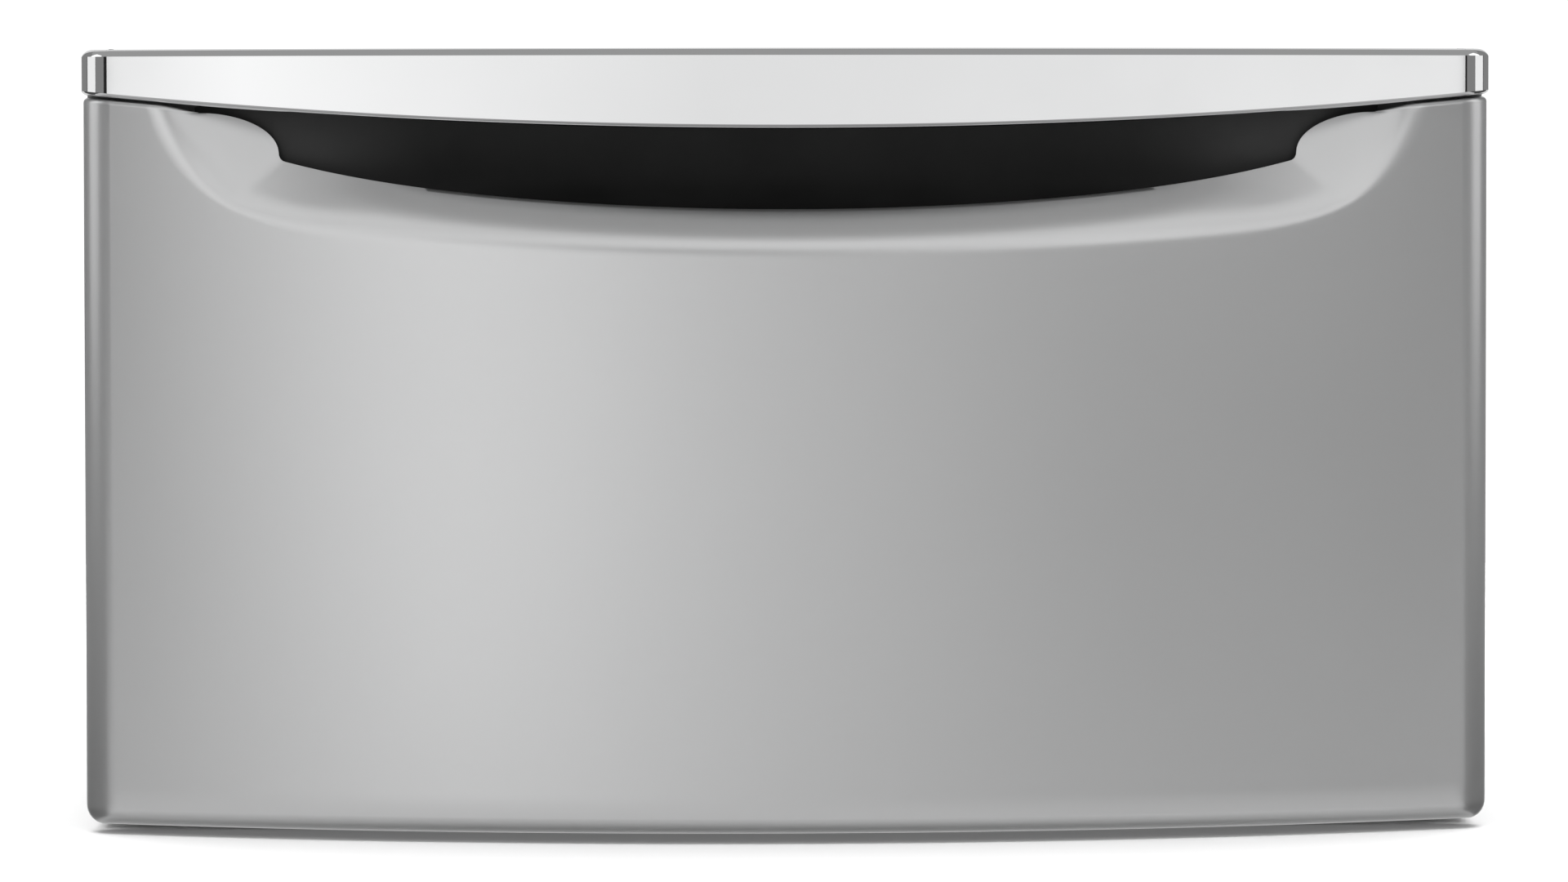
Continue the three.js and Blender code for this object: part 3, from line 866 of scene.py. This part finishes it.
def buildRearPanel():
    low, high = cornersOf("rear_panel")
    shell = foldedBox(low, high, [(0, -1, 0)], rearShape["bend"])
    pressField(shell, (0, 1, 0), rearShape["margin"], -rearShape["press"], 5)
    softenEdges(shell, 1.2, 3, 20)
    thicken(shell, rearShape["wall"])
    middle = (low.z + high.z) / 2
    cutters = []
    half = rearShape["ventLength"] / 2
    for x in rearShape["ventXs"]:
        for above in rearShape["ventZs"]:
            z = middle + above
            slot = addBox((x - half, high.y - 12, z), (x + half, high.y + 4, z + rearShape["ventHeight"]))
            cutters.append(softenEdges(slot, 1.6, 3))
    cutAway(shell, joinPieces(cutters))
    fit(shell, "cabinet_rear", "cabinet", "cabinet_paint", ["rear_panel"], 40)
    places = [(x, high.y + 0.6, z) for z in (high.z - 14, low.z + 12) for x in rearShape["screwXs"]]
    screwGroup("rear_screws", "cabinet", places, "Y", True, 3.6)


buildRearPanel()
print("rear panel made")

# the deck that the machine stands on

deckShape = {
    "bend": 3,
    "wall": 0.9,
    "press": 0.6,
    "ribs": (-170, -85, 0, 85, 170),
    "ribMiddle": 43,
    "ribHalf": 11,
    "ribReach": 150,
    "seatX": 285,
    "seatYs": (-200, 260),
    "seatRadius": 34,
    "holeX": 250,
    "holeYs": (-192, 278),
    "holeRadius": 8,
    "slotHalf": 3.5,
    "slotLength": 22,
}


def capsule(x, y, half, reach, low, high, draft=2):  # a long rounded cutter with sloped sides
    bar = addBox((x - half, y - reach, low), (x + half, y + reach, high))
    pick(bar, "EDGE", lambda edge: run(bar, edge, "z") > (high - low) * 0.9)
    bevelPicked(half * 0.98, 6)
    pick(bar, "FACE", facing((0, 0, -1)))
    bpy.ops.transform.resize(value=((half - draft) / half, (reach - draft) / reach, 1))
    leaveEdit()
    return bar


def buildDeck():
    low, high = cornersOf("top_deck")
    shell = foldedBox(low, high, [(0, 0, -1)], deckShape["bend"])
    thicken(shell, deckShape["wall"])
    depth = deckShape["press"]
    cutters = []
    middle, half, reach = deckShape["ribMiddle"], deckShape["ribHalf"], deckShape["ribReach"]
    for x in deckShape["ribs"]:
        cutters.append(capsule(x, middle, half, reach, high.z - depth, high.z + 2))
    for x in (-deckShape["seatX"], deckShape["seatX"]):
        for y in deckShape["seatYs"]:
            seat = addRod((x, y, high.z - depth / 2 + 1), deckShape["seatRadius"], depth + 2, "Z", 40)
            pick(seat, "FACE", facing((0, 0, -1)))
            bpy.ops.transform.resize(value=(0.94, 0.94, 1))
            leaveEdit()
            cutters.append(seat)
    for x in (-deckShape["holeX"], deckShape["holeX"]):
        for y in deckShape["holeYs"]:
            forward = 1 if y > 0 else -1
            cutters.append(addRod((x, y, high.z), deckShape["holeRadius"], 8, "Z", 32))
            slot = deckShape["slotHalf"]
            ends = sorted((y, y + forward * deckShape["slotLength"]))
            cutters.append(addBox((x - slot, ends[0], high.z - 4), (x + slot, ends[1], high.z + 4)))
    cutAway(shell, *cutters)
    fit(shell, "cabinet_deck", "cabinet", "cabinet_paint", ["top_deck"], 25)


buildDeck()
print("deck made")

# rails across the cabinet

railShape = {"bend": 2, "wall": 0.9}


def buildRail(node, openFace, name):
    low, high = cornersOf(node)
    shell = foldedBox(low, high, [openFace, (1, 0, 0), (-1, 0, 0)], railShape["bend"])
    thicken(shell, railShape["wall"])
    fit(shell, name, "cabinet", "cabinet_paint", [node], 40)


buildRail("front_top_rail", (0, 1, 0), "rail_front_top")
buildRail("front_bottom_rail", (0, 1, 0), "rail_front_bottom")
buildRail("rear_bottom_rail", (0, -1, 0), "rail_rear_bottom")
print("rails made")

# hat rails, brackets and bumpers

hatShape = {
    "steel": 1.2,
    "bracketHalf": 28,
    "braceHalf": 30,
    "bend": 2.2,
    "holeRadius": 9,
    "bracketHole": 5,
    "bracketHoleDrop": 14,
    "handleSteel": 1.5,
    "handleBend": 1.6,
}


def foldedStrip(points, placeOf, bend, wall):  # a bent outline carried along a piece, as sheet metal
    strip = addSheet(len(points), 2, lambda column, row: placeOf(points[column], row))
    folds = innerEdges(strip)
    pick(strip, "EDGE", lambda edge: edge.key in folds)
    bevelPicked(bend, 4)
    return applyModifier(strip, "SOLIDIFY", thickness=wall * mm, offset=0, use_even_offset=True)


def buildSlideBracket(name, side):
    low, high = cornersOf(f"slide_bracket_{name}")
    plate, wall = sorted((abs(low.x), abs(high.x)))
    middle, reach, half = (low.z + high.z) / 2, (high.z - low.z) / 2, hatShape["bracketHalf"]
    skin = hatShape["steel"] / 2
    outline = [(wall - skin, -reach), (wall - skin, -half), (plate + skin, -half),
               (plate + skin, half), (wall - skin, half), (wall - skin, reach)]
    strip = foldedStrip(
        outline, lambda point, row: (side * point[0], (low.y, high.y)[row], middle + point[1]),
        hatShape["bend"], hatShape["steel"])
    drop, radius = hatShape["bracketHoleDrop"], hatShape["bracketHole"]
    holes = [addRod((side * (plate + 1), y, middle - drop), radius, 8, "X", 24) for y in range(-180, 260, 90)]
    cutAway(strip, joinPieces(holes))
    fit(strip, f"bracket_slide_{name}", "cabinet", "zinc_steel", [f"slide_bracket_{name}"], 40)


def buildDeckBrace(rank):
    low, high = cornersOf(f"deck_brace_{rank}")
    middle, reach, half = (low.y + high.y) / 2, (high.y - low.y) / 2, hatShape["braceHalf"]
    skin = hatShape["steel"] / 2
    top, bottom = high.z - skin, low.z + skin
    outline = [(-reach, top), (-half, top), (-half, bottom), (half, bottom), (half, top), (reach, top)]
    strip = foldedStrip(
        outline, lambda point, row: ((low.x, high.x)[row], middle + point[0], point[1]),
        hatShape["bend"], hatShape["steel"])
    holes = [addRod((x, middle, low.z), hatShape["holeRadius"], 8, "Z", 28) for x in range(-240, 300, 120)]
    cutAway(strip, joinPieces(holes))
    fit(strip, f"brace_{rank}", "cabinet", "zinc_steel", [f"deck_brace_{rank}"], 40)


def buildHandleBracket(name):
    low, high = cornersOf(f"handle_bracket_{name}")
    steel = hatShape["handleSteel"]
    skin = steel / 2
    outline = [(high.y - skin, high.z), (high.y - skin, low.z + skin), (low.y, low.z + skin)]
    strip = foldedStrip(
        outline, lambda point, row: ((low.x, high.x)[row], point[0], point[1]), hatShape["handleBend"], steel)
    softenEdges(strip, 0.3, 2)
    fit(strip, f"bracket_handle_{name}", "drawer", "zinc_steel", [f"handle_bracket_{name}"], 40)


footBracketShape = {"steel": 2, "bend": 3, "tabReach": 320, "tabDrop": 12, "boreRadius": 6.3, "nutHigh": 10.5}


def buildFootBracket(rank, name, side):
    low, high = cornersOf(f"foot_bracket_{rank}_{name}")
    forward = -1 if rank == "front" else 1
    studLow, studHigh = cornersOf(f"foot_stud_{rank}_{name}")
    centre = (studLow + studHigh) / 2
    steel, tabReach = footBracketShape["steel"], footBracketShape["tabReach"]
    shell = foldedBox(low, high, [(0, 0, 1), (-side, 0, 0), (0, -forward, 0)], footBracketShape["bend"])
    rim = low.y if forward < 0 else high.y
    for vertex in shell.data.vertices:  # the tab on the rail is lower and slopes
        point = vertex.co / mm
        if point.z > high.z - 0.1 and abs(point.y - rim) < 0.1 and abs(point.x) < tabReach:
            vertex.co.z -= footBracketShape["tabDrop"] * mm
    thicken(shell, steel)
    nut = hexNut(centre, low.z + steel - 0.1, low.z + footBracketShape["nutHigh"])
    for piece in (shell, nut):
        cutAway(piece, addRod((centre.x, centre.y, low.z + 5), footBracketShape["boreRadius"], 30, "Z", 32))
    bracket = joinPieces([shell, nut])
    node = f"foot_bracket_{rank}_{name}"
    fit(bracket, f"bracket_foot_{rank}_{name}", "cabinet", "zinc_steel", [node], 40)


bumperRadius = 6


def buildBumper(rank, name):
    node = f"drawer_bumper_{rank}_{name}"
    low, high = cornersOf(node)
    disc = addRod((low + high) / 2, bumperRadius, high.y - low.y, "Y", 32)
    pick(disc, "FACE", facing((0, -1, 0)))
    bpy.ops.transform.resize(value=(0.86, 1, 0.86))
    inset(2.4)
    inset(0.8, -1.2)
    leaveEdit()
    softenEdges(disc, 0.5, 3, 25)
    fit(disc, f"bumper_{rank}_{name}", "cabinet", "black_rubber", [node], 40)

# the drawer box: folded sides, a ribbed floor, a hemmed back and a divider

boxShape = {
    "wall": 0.9,
    "bend": 2.5,
    "ribs": (-200, -100, 0, 100, 200),
    "ribHeight": 1.2,
    "ribHalf": 7,
    "ribClear": 28,
    "panelCorner": 8,
    "panelRim": 11,
}


def buildDrawerSide(name, side):
    low, high = cornersOf(f"drawer_side_{name}")
    shell = foldedBox(low, high, [(-side, 0, 0), (0, 1, 0), (0, -1, 0)], boxShape["bend"])
    thicken(shell, boxShape["wall"])
    fit(shell, f"box_side_{name}", "drawer", "box_paint", [f"drawer_side_{name}"], 40)


def buildDrawerFloor():
    low, high = cornersOf("drawer_floor")
    plateTop = high.z - boxShape["ribHeight"]
    half, clear = boxShape["ribHalf"], boxShape["ribClear"]
    plate = softenEdges(addBox(low, (high.x, high.y, plateTop)), 0.3, 2)
    middle, reach = (low.y + high.y) / 2, (high.y - low.y) / 2 - clear
    bars = [plate]
    for x in boxShape["ribs"]:
        bar = addBox((x - half, low.y + clear, plateTop - 0.3), (x + half, high.y - clear, high.z))
        pick(bar, "EDGE", lambda edge: run(bar, edge, "z") > 1)
        bevelPicked(half - 0.1, 6)
        pick(bar, "FACE", facing((0, 0, 1)))
        inset(1.5)
        leaveEdit()
        outline = [face for face in bar.data.polygons if face.normal.z > 0.9]
        for index in {index for face in outline for index in face.vertices}:
            point = bar.data.vertices[index].co
            inner = abs(point.x / mm - x) < half - 1.2 and abs(point.y / mm - middle) < reach - 1
            point.z = (high.z if inner else plateTop + 0.1) * mm
        bars.append(bar)
    fit(joinPieces(bars), "box_floor", "drawer", "box_paint", ["drawer_floor"], 40)


def buildDrawerBack():
    low, high = cornersOf("drawer_back")
    shell = foldedBox(low, high, [(0, -1, 0), (0, 0, -1), (1, 0, 0), (-1, 0, 0)], boxShape["bend"])
    pressField(shell, (0, 1, 0), 40, -1.6, 3)
    softenEdges(shell, 0.9, 2, 20)
    thicken(shell, boxShape["wall"])
    fit(shell, "box_back", "drawer", "box_paint", ["drawer_back"], 40)


def buildDivider():
    low, high = cornersOf("drawer_divider")
    shell = foldedBox(low, high, [(0, 1, 0), (1, 0, 0), (-1, 0, 0)], 2)
    pressField(shell, (0, -1, 0), 34, -1.6, 3)
    softenEdges(shell, 0.9, 2, 20)
    thicken(shell, boxShape["wall"])
    fit(shell, "box_divider", "drawer", "box_paint", ["drawer_divider"], 40)


def buildFrontInner():
    low, high = cornersOf("drawer_front_inner")
    plate = addBox((low.x, high.y - 1.2, low.z), high)
    pick(plate, "FACE", facing((0, 1, 0)))
    inset(boxShape["panelRim"])
    inset(0.6, -0.6)
    leaveEdit()
    pick(plate, "EDGE", lambda edge: run(plate, edge, "y") > 1)
    bevelPicked(boxShape["panelCorner"], 5)
    softenEdges(plate, 0.25, 2, 30)
    fit(plate, "front_inner_panel", "drawer", "box_paint", ["drawer_front_inner"], 40)
    heights = (low.z + 60, 180, high.z - 50)
    places = [(x, high.y + 0.4, z) for x in (low.x + 6, high.x - 6) for z in heights]
    places += [(x, high.y - 0.2, high.z - 18) for x in (-220, 0, 220)]
    screwGroup("front_screws", "drawer", places, "Y", False, 3.4)


for name, side in sideNames.items():
    buildDrawerSide(name, side)
buildDrawerFloor()
buildDrawerBack()
buildDivider()
buildFrontInner()
print("drawer box made")

# the slides: rolled members, cages with steel balls, release levers

slideShape = {
    "plane": 320,  # the bracket's face; outlines give the distance from it, then the height
    "steel": 1.1,
    "ballAway": 7.4,
    "ballsInRow": 5,
    "outerRow": 19.4,
    "cageRim": 310.5,
    "cageSteel": 0.45,
}


def rolledMember(name, node, body, side, outline):  # an outline across the slide, run along it
    low, high = cornersOf(node)
    middle = (low.z + high.z) / 2
    points = outline + [(away, -up) for away, up in reversed(outline)]

    def place(column, row):
        away, up = points[column]
        return side * (slideShape["plane"] - away), mix(low.y, high.y, row / 4), middle + up

    member = addSheet(len(points), 5, place)
    makeActive(member)
    bpy.ops.object.mode_set(mode="EDIT")
    bpy.ops.mesh.select_all(action="SELECT")
    bpy.ops.mesh.normals_make_consistent(inside=False)
    leaveEdit()
    steel = slideShape["steel"] * mm
    applyModifier(member, "SOLIDIFY", thickness=steel, offset=0, use_even_offset=True)
    softenEdges(member, 0.25, 2, 40)
    return fit(member, name, body, "slide_steel", [node], 40)


def arcPoints(centre, radius, start, end, count=5):
    turns = [math.radians(mix(start, end, step / (count - 1))) for step in range(count)]
    return [(centre[0] + radius * math.cos(turn), centre[1] + radius * math.sin(turn)) for turn in turns]


def outerOutline():  # from the lip over the ball race to the web
    row = slideShape["outerRow"]
    race = arcPoints((slideShape["ballAway"], row), 2.45, 20, 110)
    return [(10.3, row)] + race + arcPoints((2.8, 19.9), 2.2, 90, 180)


def middleOutline():
    groove = [(11, 16.9), (9.4, 16.9), (8.3, 16.6), (7.4, 16.5), (6.5, 16.6), (5.2, 16.9)]
    return groove + arcPoints((4.6, 15.1), 1.8, 90, 180)


def innerOutline():
    groove = [(5.6, 11.7), (6.2, 11.7), (6.8, 11.4), (7.4, 11.3), (8, 11.4), (8.6, 11.7)]
    return groove + arcPoints((9.8, 9.7), 2, 90, 0)


def ballCage(name, node, body, side, row, radius, webAway):
    low, high = cornersOf(node)
    middle = (low.z + high.z) / 2
    plane, count = slideShape["plane"], slideShape["ballsInRow"]
    reach = row + 0.3
    near, far = sorted((side * (plane - webAway), side * slideShape["cageRim"]))
    strip = foldedBox((near, low.y, middle - reach), (far, high.y, middle + reach),
                      [(-side, 0, 0), (0, 1, 0), (0, -1, 0)], 0.8)
    thicken(strip, slideShape["cageSteel"])
    pieces = [strip]
    for index in range(count):
        for up in (-row, row):
            deselectAll()
            y = low.y + (high.y - low.y) * (index + 0.5) / count
            place = Vector((side * (plane - slideShape["ballAway"]), y, middle + up)) * mm
            bpy.ops.mesh.primitive_uv_sphere_add(
                segments=20, ring_count=12, radius=radius * mm, location=place)
            ball = rest()
            pick(ball, "FACE", lambda face: abs(face.normal.z) > 0.97)
            bpy.ops.mesh.bevel(offset=0.02 * mm, segments=1, affect="EDGES")
            leaveEdit()
            pieces.append(ball)
    return fit(joinPieces(pieces), name, body, "slide_steel", [node], 40)


leverShape = {"half": 2.6, "pivot": 0.62, "swell": 0.9, "ridges": 4, "ridge": 1, "ridgeStep": 2.4}


def releaseLever(name):
    low, high = cornersOf(f"release_lever_{name}")
    middle = (low.z + high.z) / 2
    half, ridgeHigh = leverShape["half"], leverShape["ridge"]
    lever = addBox((low.x, low.y, middle - half), (high.x, high.y, middle + half))
    pick(lever, "EDGE", lambda edge: run(lever, edge, "y") > 20)
    bpy.ops.mesh.subdivide(number_cuts=15)
    leaveEdit()
    for vertex in lever.data.vertices:  # widest at the pivot
        share = (vertex.co.y / mm - low.y) / (high.y - low.y)
        swell = 1 + leverShape["swell"] * math.exp(-((share - leverShape["pivot"]) / 0.2) ** 2)
        vertex.co.z = (middle + (vertex.co.z / mm - middle) * swell) * mm
    softenEdges(lever, 0.7, 3, 40)
    ridges = [lever]
    for step in range(leverShape["ridges"]):
        y = low.y + 3 + step * leverShape["ridgeStep"]
        ridge = addBox((low.x + 0.4, y, middle - 3), (high.x - 0.4, y + ridgeHigh, middle - 2.3))
        ridges.append(softenEdges(ridge, 0.25, 2))
    node = f"release_lever_{name}"
    return fit(joinPieces(ridges), f"slide_lever_{name}", node, "black_plastic", [node], 40)


for name, side in sideNames.items():
    middle = f"slide_middle_{name}"
    rolledMember(f"slide_rail_outer_{name}", f"slide_outer_{name}", "cabinet", side, outerOutline())
    rolledMember(f"slide_rail_middle_{name}", middle, middle, side, middleOutline())
    rolledMember(f"slide_rail_inner_{name}", f"slide_inner_{name}", "drawer", side, innerOutline())
    outer, inner = f"ball_cage_outer_{name}", f"ball_cage_inner_{name}"
    ballCage(f"cage_outer_{name}", outer, outer, side, slideShape["outerRow"], 1.8, 1.7)
    ballCage(f"cage_inner_{name}", inner, inner, side, 14.3, 1.9, 3.95)
    releaseLever(name)
print("slides made")

# the feet: threaded studs with a hexagon, rubber pads, lock nuts

footShape = {
    "pitch": 1.75,
    "thread": 0.55,
    "radius": 5.9,
    "perTurn": 20,
    "perPitch": 6,
    "hexagon": 19,  # across the flats
    "padRadius": 20,
    "padEdge": 3.2,
}


def threadedStud(rank, name):
    node = f"foot_stud_{rank}_{name}"
    low, high = cornersOf(node)
    padLow, padHigh = cornersOf(f"foot_pad_{rank}_{name}")
    centre = (padLow + padHigh) / 2
    radius, start = footShape["radius"], padHigh.z + 0.3
    pitch, perTurn = footShape["pitch"], footShape["perTurn"]
    rows = int((high.z - start) / pitch * footShape["perPitch"])

    def place(column, row):
        z = mix(start, high.z, row / rows)
        phase = z / pitch - column / perTurn
        ridge = abs((phase % 1) * 2 - 1)
        tip = min((high.z - z) / 2, 1)
        reach = (radius - footShape["thread"] * (1 - ridge)) * mix(0.8, 1, tip)
        turn = 2 * math.pi * column / perTurn
        return centre.x + reach * math.cos(turn), centre.y + reach * math.sin(turn), z

    shank = addSheet(perTurn + 1, rows + 1, place)
    makeActive(shank)
    bpy.ops.object.mode_set(mode="EDIT")
    bpy.ops.mesh.select_all(action="SELECT")
    bpy.ops.mesh.remove_doubles(threshold=0.01 * mm)
    bpy.ops.mesh.select_all(action="DESELECT")
    bpy.ops.mesh.select_mode(type="EDGE")
    bpy.ops.mesh.select_non_manifold()
    bpy.ops.mesh.edge_face_add()
    bpy.ops.mesh.select_all(action="SELECT")
    bpy.ops.mesh.normals_make_consistent(inside=False)
    leaveEdit()
    foot = addRod((centre.x, centre.y, (low.z + start + 0.2) / 2), 5, start + 0.2 - low.z, "Z", 24)
    softenEdges(foot, 0.4, 2)
    nutTop = cornersOf(f"lock_nut_{rank}_{name}")[0].z - 0.3
    collar = hexNut(centre, start, nutTop)
    stud = joinPieces([shank, foot, collar])
    return fit(stud, f"stud_{rank}_{name}", f"foot_{rank}_{name}", "zinc_steel", [node], 40)


def hexNut(centre, low, high):
    radius = footShape["hexagon"] / math.sqrt(3)
    nut = addRod((centre.x, centre.y, (low + high) / 2), radius, high - low, "Z", 6)
    pick(nut, "EDGE", lambda edge: run(nut, edge, "z") < 0.1)
    bevelPicked(0.7, 2)
    return nut


def lockNut(rank, name):
    node = f"lock_nut_{rank}_{name}"
    low, high = cornersOf(node)
    centre = (low + high) / 2
    nut = hexNut(centre, low.z, high.z)
    cutAway(nut, addRod(centre, 6.1, 20, "Z", 32))
    return fit(nut, f"nut_{rank}_{name}", "cabinet", "zinc_steel", [node], 30)


def rubberPad(rank, name):
    node = f"foot_pad_{rank}_{name}"
    low, high = cornersOf(node)
    centre = (low + high) / 2
    edge = footShape["padEdge"]
    pad = addRod((centre.x, centre.y, edge / 2), footShape["padRadius"], edge, "Z", 48)
    pick(pad, "FACE", facing((0, 0, 1)))
    inset(2.2, 1.4)
    inset(6.5, 0.8)
    inset(2.2, 2.5)
    inset(3.6)
    inset(0.2, -3)
    leaveEdit()
    softenEdges(pad, 0.5, 3, 25)
    return fit(pad, f"rubber_pad_{rank}_{name}", f"foot_{rank}_{name}", "black_rubber", [node], 35)


for rank in ("front", "rear"):
    for name, side in sideNames.items():
        threadedStud(rank, name)
        lockNut(rank, name)
        rubberPad(rank, name)
        buildFootBracket(rank, name, side)
print("feet made")

for name, side in sideNames.items():
    buildSlideBracket(name, side)
    buildHandleBracket(name)
    for rank in ("upper", "lower"):
        buildBumper(rank, name)
for rank in ("front", "rear"):
    buildDeckBrace(rank)
print("brackets made")


# the frame's own nodes take the same finishes

def slotOf(node):
    groups = {
        "ball_cage": "slide_steel", "slide_outer": "slide_steel", "slide_middle": "slide_steel",
        "slide_inner": "slide_steel", "slide_bracket": "zinc_steel", "release_lever": "black_plastic",
        "handle_bracket": "zinc_steel", "deck_brace": "zinc_steel", "foot_bracket": "zinc_steel",
        "lock_nut": "zinc_steel", "foot_stud": "zinc_steel", "foot_pad": "black_rubber",
        "drawer_bumper": "black_rubber", "drawer_front_skin": "front_paint", "handle_trim": "bright_trim",
        "finger_cup": "black_plastic", "drawer": "box_paint",
    }
    for start, slot in groups.items():
        if node.startswith(start):
            return slot
    return "cabinet_paint"


for name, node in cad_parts.items():
    node.data.materials.clear()
    node.data.materials.append(finishes[slotOf(name)])
print("frame nodes finished")


# the studio: a pale floor, a white backdrop and soft lights

studio = {
    "cardRadius": 5.0,
    "cardTurn": (-43.3, 46.0),
    "cardRise": (-8, 48),
    "cardSpots": (-47, -34, -20, -4, 20, 48),  # degrees round the front, from the left
    "cardLower": (0.05, 0.68, 1.42, 0.79, 0.22, 0.05),
    "cardUpper": (0.90, 1.20, 0.95, 0.05, 1.25, 0.90),
    "cardBand": (0.84, 1.04, 0.92, 0.81, 0.85, 0.90),  # the narrow strip that the upright trim reflects
    "bandHeight": (0.40, 0.11),
    "cardTop": 0.95,
    "sideCards": 0.22,
    "lowFlags": 0.06,
    "sideBoxes": (0.9, 0.9),
    "horizon": 0.02,
    "above": 0.33,
    "below": 0.74,
    "floorFill": 300,
}


def glowing(name, level):
    finish = Finish(name, {"Base Color": grey(0), "Roughness": 1.0, "Emission Strength": 1.0})
    finish.set("Emission Color", level(finish) if callable(level) else grey(level))
    return finish.material


def hideFrom(piece, camera=True, glossy=True, diffuse=True):
    piece.visible_camera = not camera
    piece.visible_glossy = not glossy
    piece.visible_diffuse = not diffuse
    piece.visible_transmission = False
    piece.visible_shadow = False


def cardPatch(name, turns, rises, material):  # part of a sphere round the pedestal, seen by its reflections
    radius = studio["cardRadius"]

    def place(column, row):
        turn = math.radians(mix(*turns, column / 30))
        rise = math.radians(mix(*rises, row / 12))
        return (1000 * radius * math.sin(turn) * math.cos(rise),
                -1000 * radius * math.cos(turn) * math.cos(rise), 250 + 1000 * radius * math.sin(rise))

    card = addSheet(31, 13, place)
    card.name = name
    card.data.materials.append(material)
    hideFrom(card, camera=True, glossy=False, diffuse=False)
    return card


def cardShade(finish):
    place = finish.place()
    x = finish.node("ShaderNodeSeparateXYZ", {}, {0: place}, "X")
    y = finish.node("ShaderNodeSeparateXYZ", {}, {0: place}, "Y")
    z = finish.node("ShaderNodeSeparateXYZ", {}, {0: place}, "Z")
    turn = finish.maths("ARCTAN2", x, 0 - y) * (180 / math.pi)
    across = turn * 0.01 + 0.5
    ramps = []
    for levels in (studio["cardLower"], studio["cardUpper"], studio["cardBand"]):
        stops = [(spot / 100 + 0.5, grey(level)) for spot, level in zip(studio["cardSpots"], levels)]
        ramps.append(finish.node("ShaderNodeValToRGB", {"stops": stops}, {0: across}))
    height = finish.node("ShaderNodeMapRange", {}, {0: z, 1: 0.9, 2: 1.5, 3: 0, 4: 1})
    topmost = finish.node("ShaderNodeMapRange", {}, {0: z, 1: 1.7, 2: 2.3, 3: 0, 4: 1})
    middle, half = studio["bandHeight"]
    away = finish.maths("ABSOLUTE", z - middle, 0)
    inBand = finish.node("ShaderNodeMapRange", {}, {0: away, 1: half, 2: half + 0.05, 3: 1, 4: 0})
    lower = finish.blend(inBand, finish.blend(height, ramps[0], ramps[1]), ramps[2])
    return finish.blend(topmost, lower, grey(studio["cardTop"]))


def addLight(name, place, target, size, power, glossy=True):
    data = bpy.data.lights.new(name, "AREA")
    data.shape = "RECTANGLE"
    data.size, data.size_y = size
    data.energy = power
    light = bpy.data.objects.new(name, data)
    bpy.context.scene.collection.objects.link(light)
    aim = (Vector(target) - Vector(place)).to_track_quat("-Z", "Y")
    light.matrix_world = Matrix.Translation(place) @ aim.to_matrix().to_4x4()
    light.visible_camera = False
    light.visible_glossy = glossy
    return light


def buildStudio():
    deselectAll()
    bpy.ops.mesh.primitive_circle_add(vertices=96, radius=1.7, fill_type="TRIFAN", location=(0, 0, 0))
    floor = bpy.context.object
    floor.name = "studio_floor"
    paint = Finish("floorPaint", {"Specular IOR Level": 0.0})
    paint.set("Base Color", paint.blend(paint.spread(paint.noise(2, 3), 0, 1), grey(0.88), grey(0.9)))
    paint.set("Roughness", 1.0)
    floor.data.materials.append(paint.material)
    floor.visible_glossy = False

    deselectAll()
    bpy.ops.mesh.primitive_uv_sphere_add(segments=48, ring_count=24, radius=25, location=(0, 0, 0))
    backdrop = bpy.context.object
    backdrop.name = "studio_backdrop"
    backdrop.data.flip_normals()
    backdrop.data.materials.append(glowing("backdropWhite", 1.1))
    hideFrom(backdrop, camera=False, glossy=True, diffuse=True)

    cardPatch("front_card", studio["cardTurn"], studio["cardRise"], glowing("cardWhite", cardShade))
    cardPatch("rear_card", (150, 210), (0, 50), glowing("rearCardWhite", 0.7))
    for side, name in ((-1, "left"), (1, "right")):
        for rank, reach in (("front", (52, 78)), ("rear", (107, 149))):
            turns = sorted(side * turn for turn in reach)
            shade = glowing(f"sideCardGrey_{rank}_{name}", studio["sideCards"])
            cardPatch(f"side_card_{rank}_{name}", turns, (-6, 40), shade)
        turns = sorted((side * 60, side * 140))
        cardPatch(f"low_flag_{name}", turns, (-40, -7), glowing(f"lowFlagDark_{name}", studio["lowFlags"]))

    world = bpy.data.worlds.new("studioWorld")
    bpy.context.scene.world = world
    world.use_nodes = True
    tree = world.node_tree
    coordinates = tree.nodes.new("ShaderNodeTexCoord")
    split = tree.nodes.new("ShaderNodeSeparateXYZ")
    ramp = tree.nodes.new("ShaderNodeValToRGB")
    half = tree.nodes.new("ShaderNodeMapRange")
    half.inputs[1].default_value = -1
    tree.links.new(coordinates.outputs["Generated"], split.inputs[0])
    tree.links.new(split.outputs["Z"], half.inputs[0])
    tree.links.new(half.outputs[0], ramp.inputs[0])
    tree.links.new(ramp.outputs[0], tree.nodes["Background"].inputs["Color"])
    below, horizon, above = studio["below"], studio["horizon"], studio["above"]
    stops = [(0.0, 0.2), (0.12, 0.5), (0.36, below), (0.43, below),
             (0.49, horizon), (0.56, horizon), (0.72, above), (1.0, above)]
    while len(ramp.color_ramp.elements) < len(stops):
        ramp.color_ramp.elements.new(0.5)
    for stop, (position, level) in zip(ramp.color_ramp.elements, stops):
        stop.position = position
        stop.color = grey(level)

    for side, level in zip((-1, 1), studio["sideBoxes"]):
        size = (0.85, 1.8)
        power = math.pi * size[0] * size[1] * level
        addLight("sideSoftbox", (side * 1.85, -0.17, 1.10), (side * 0.34, -0.25, 0.9), size, power)
    addLight("floorFill", (0, 0.7, 3.2), (0, -0.2, 0), (5, 5), studio["floorFill"], glossy=False)
    bpy.context.scene.view_settings.view_transform = "Standard"


buildStudio()
print("studio made")
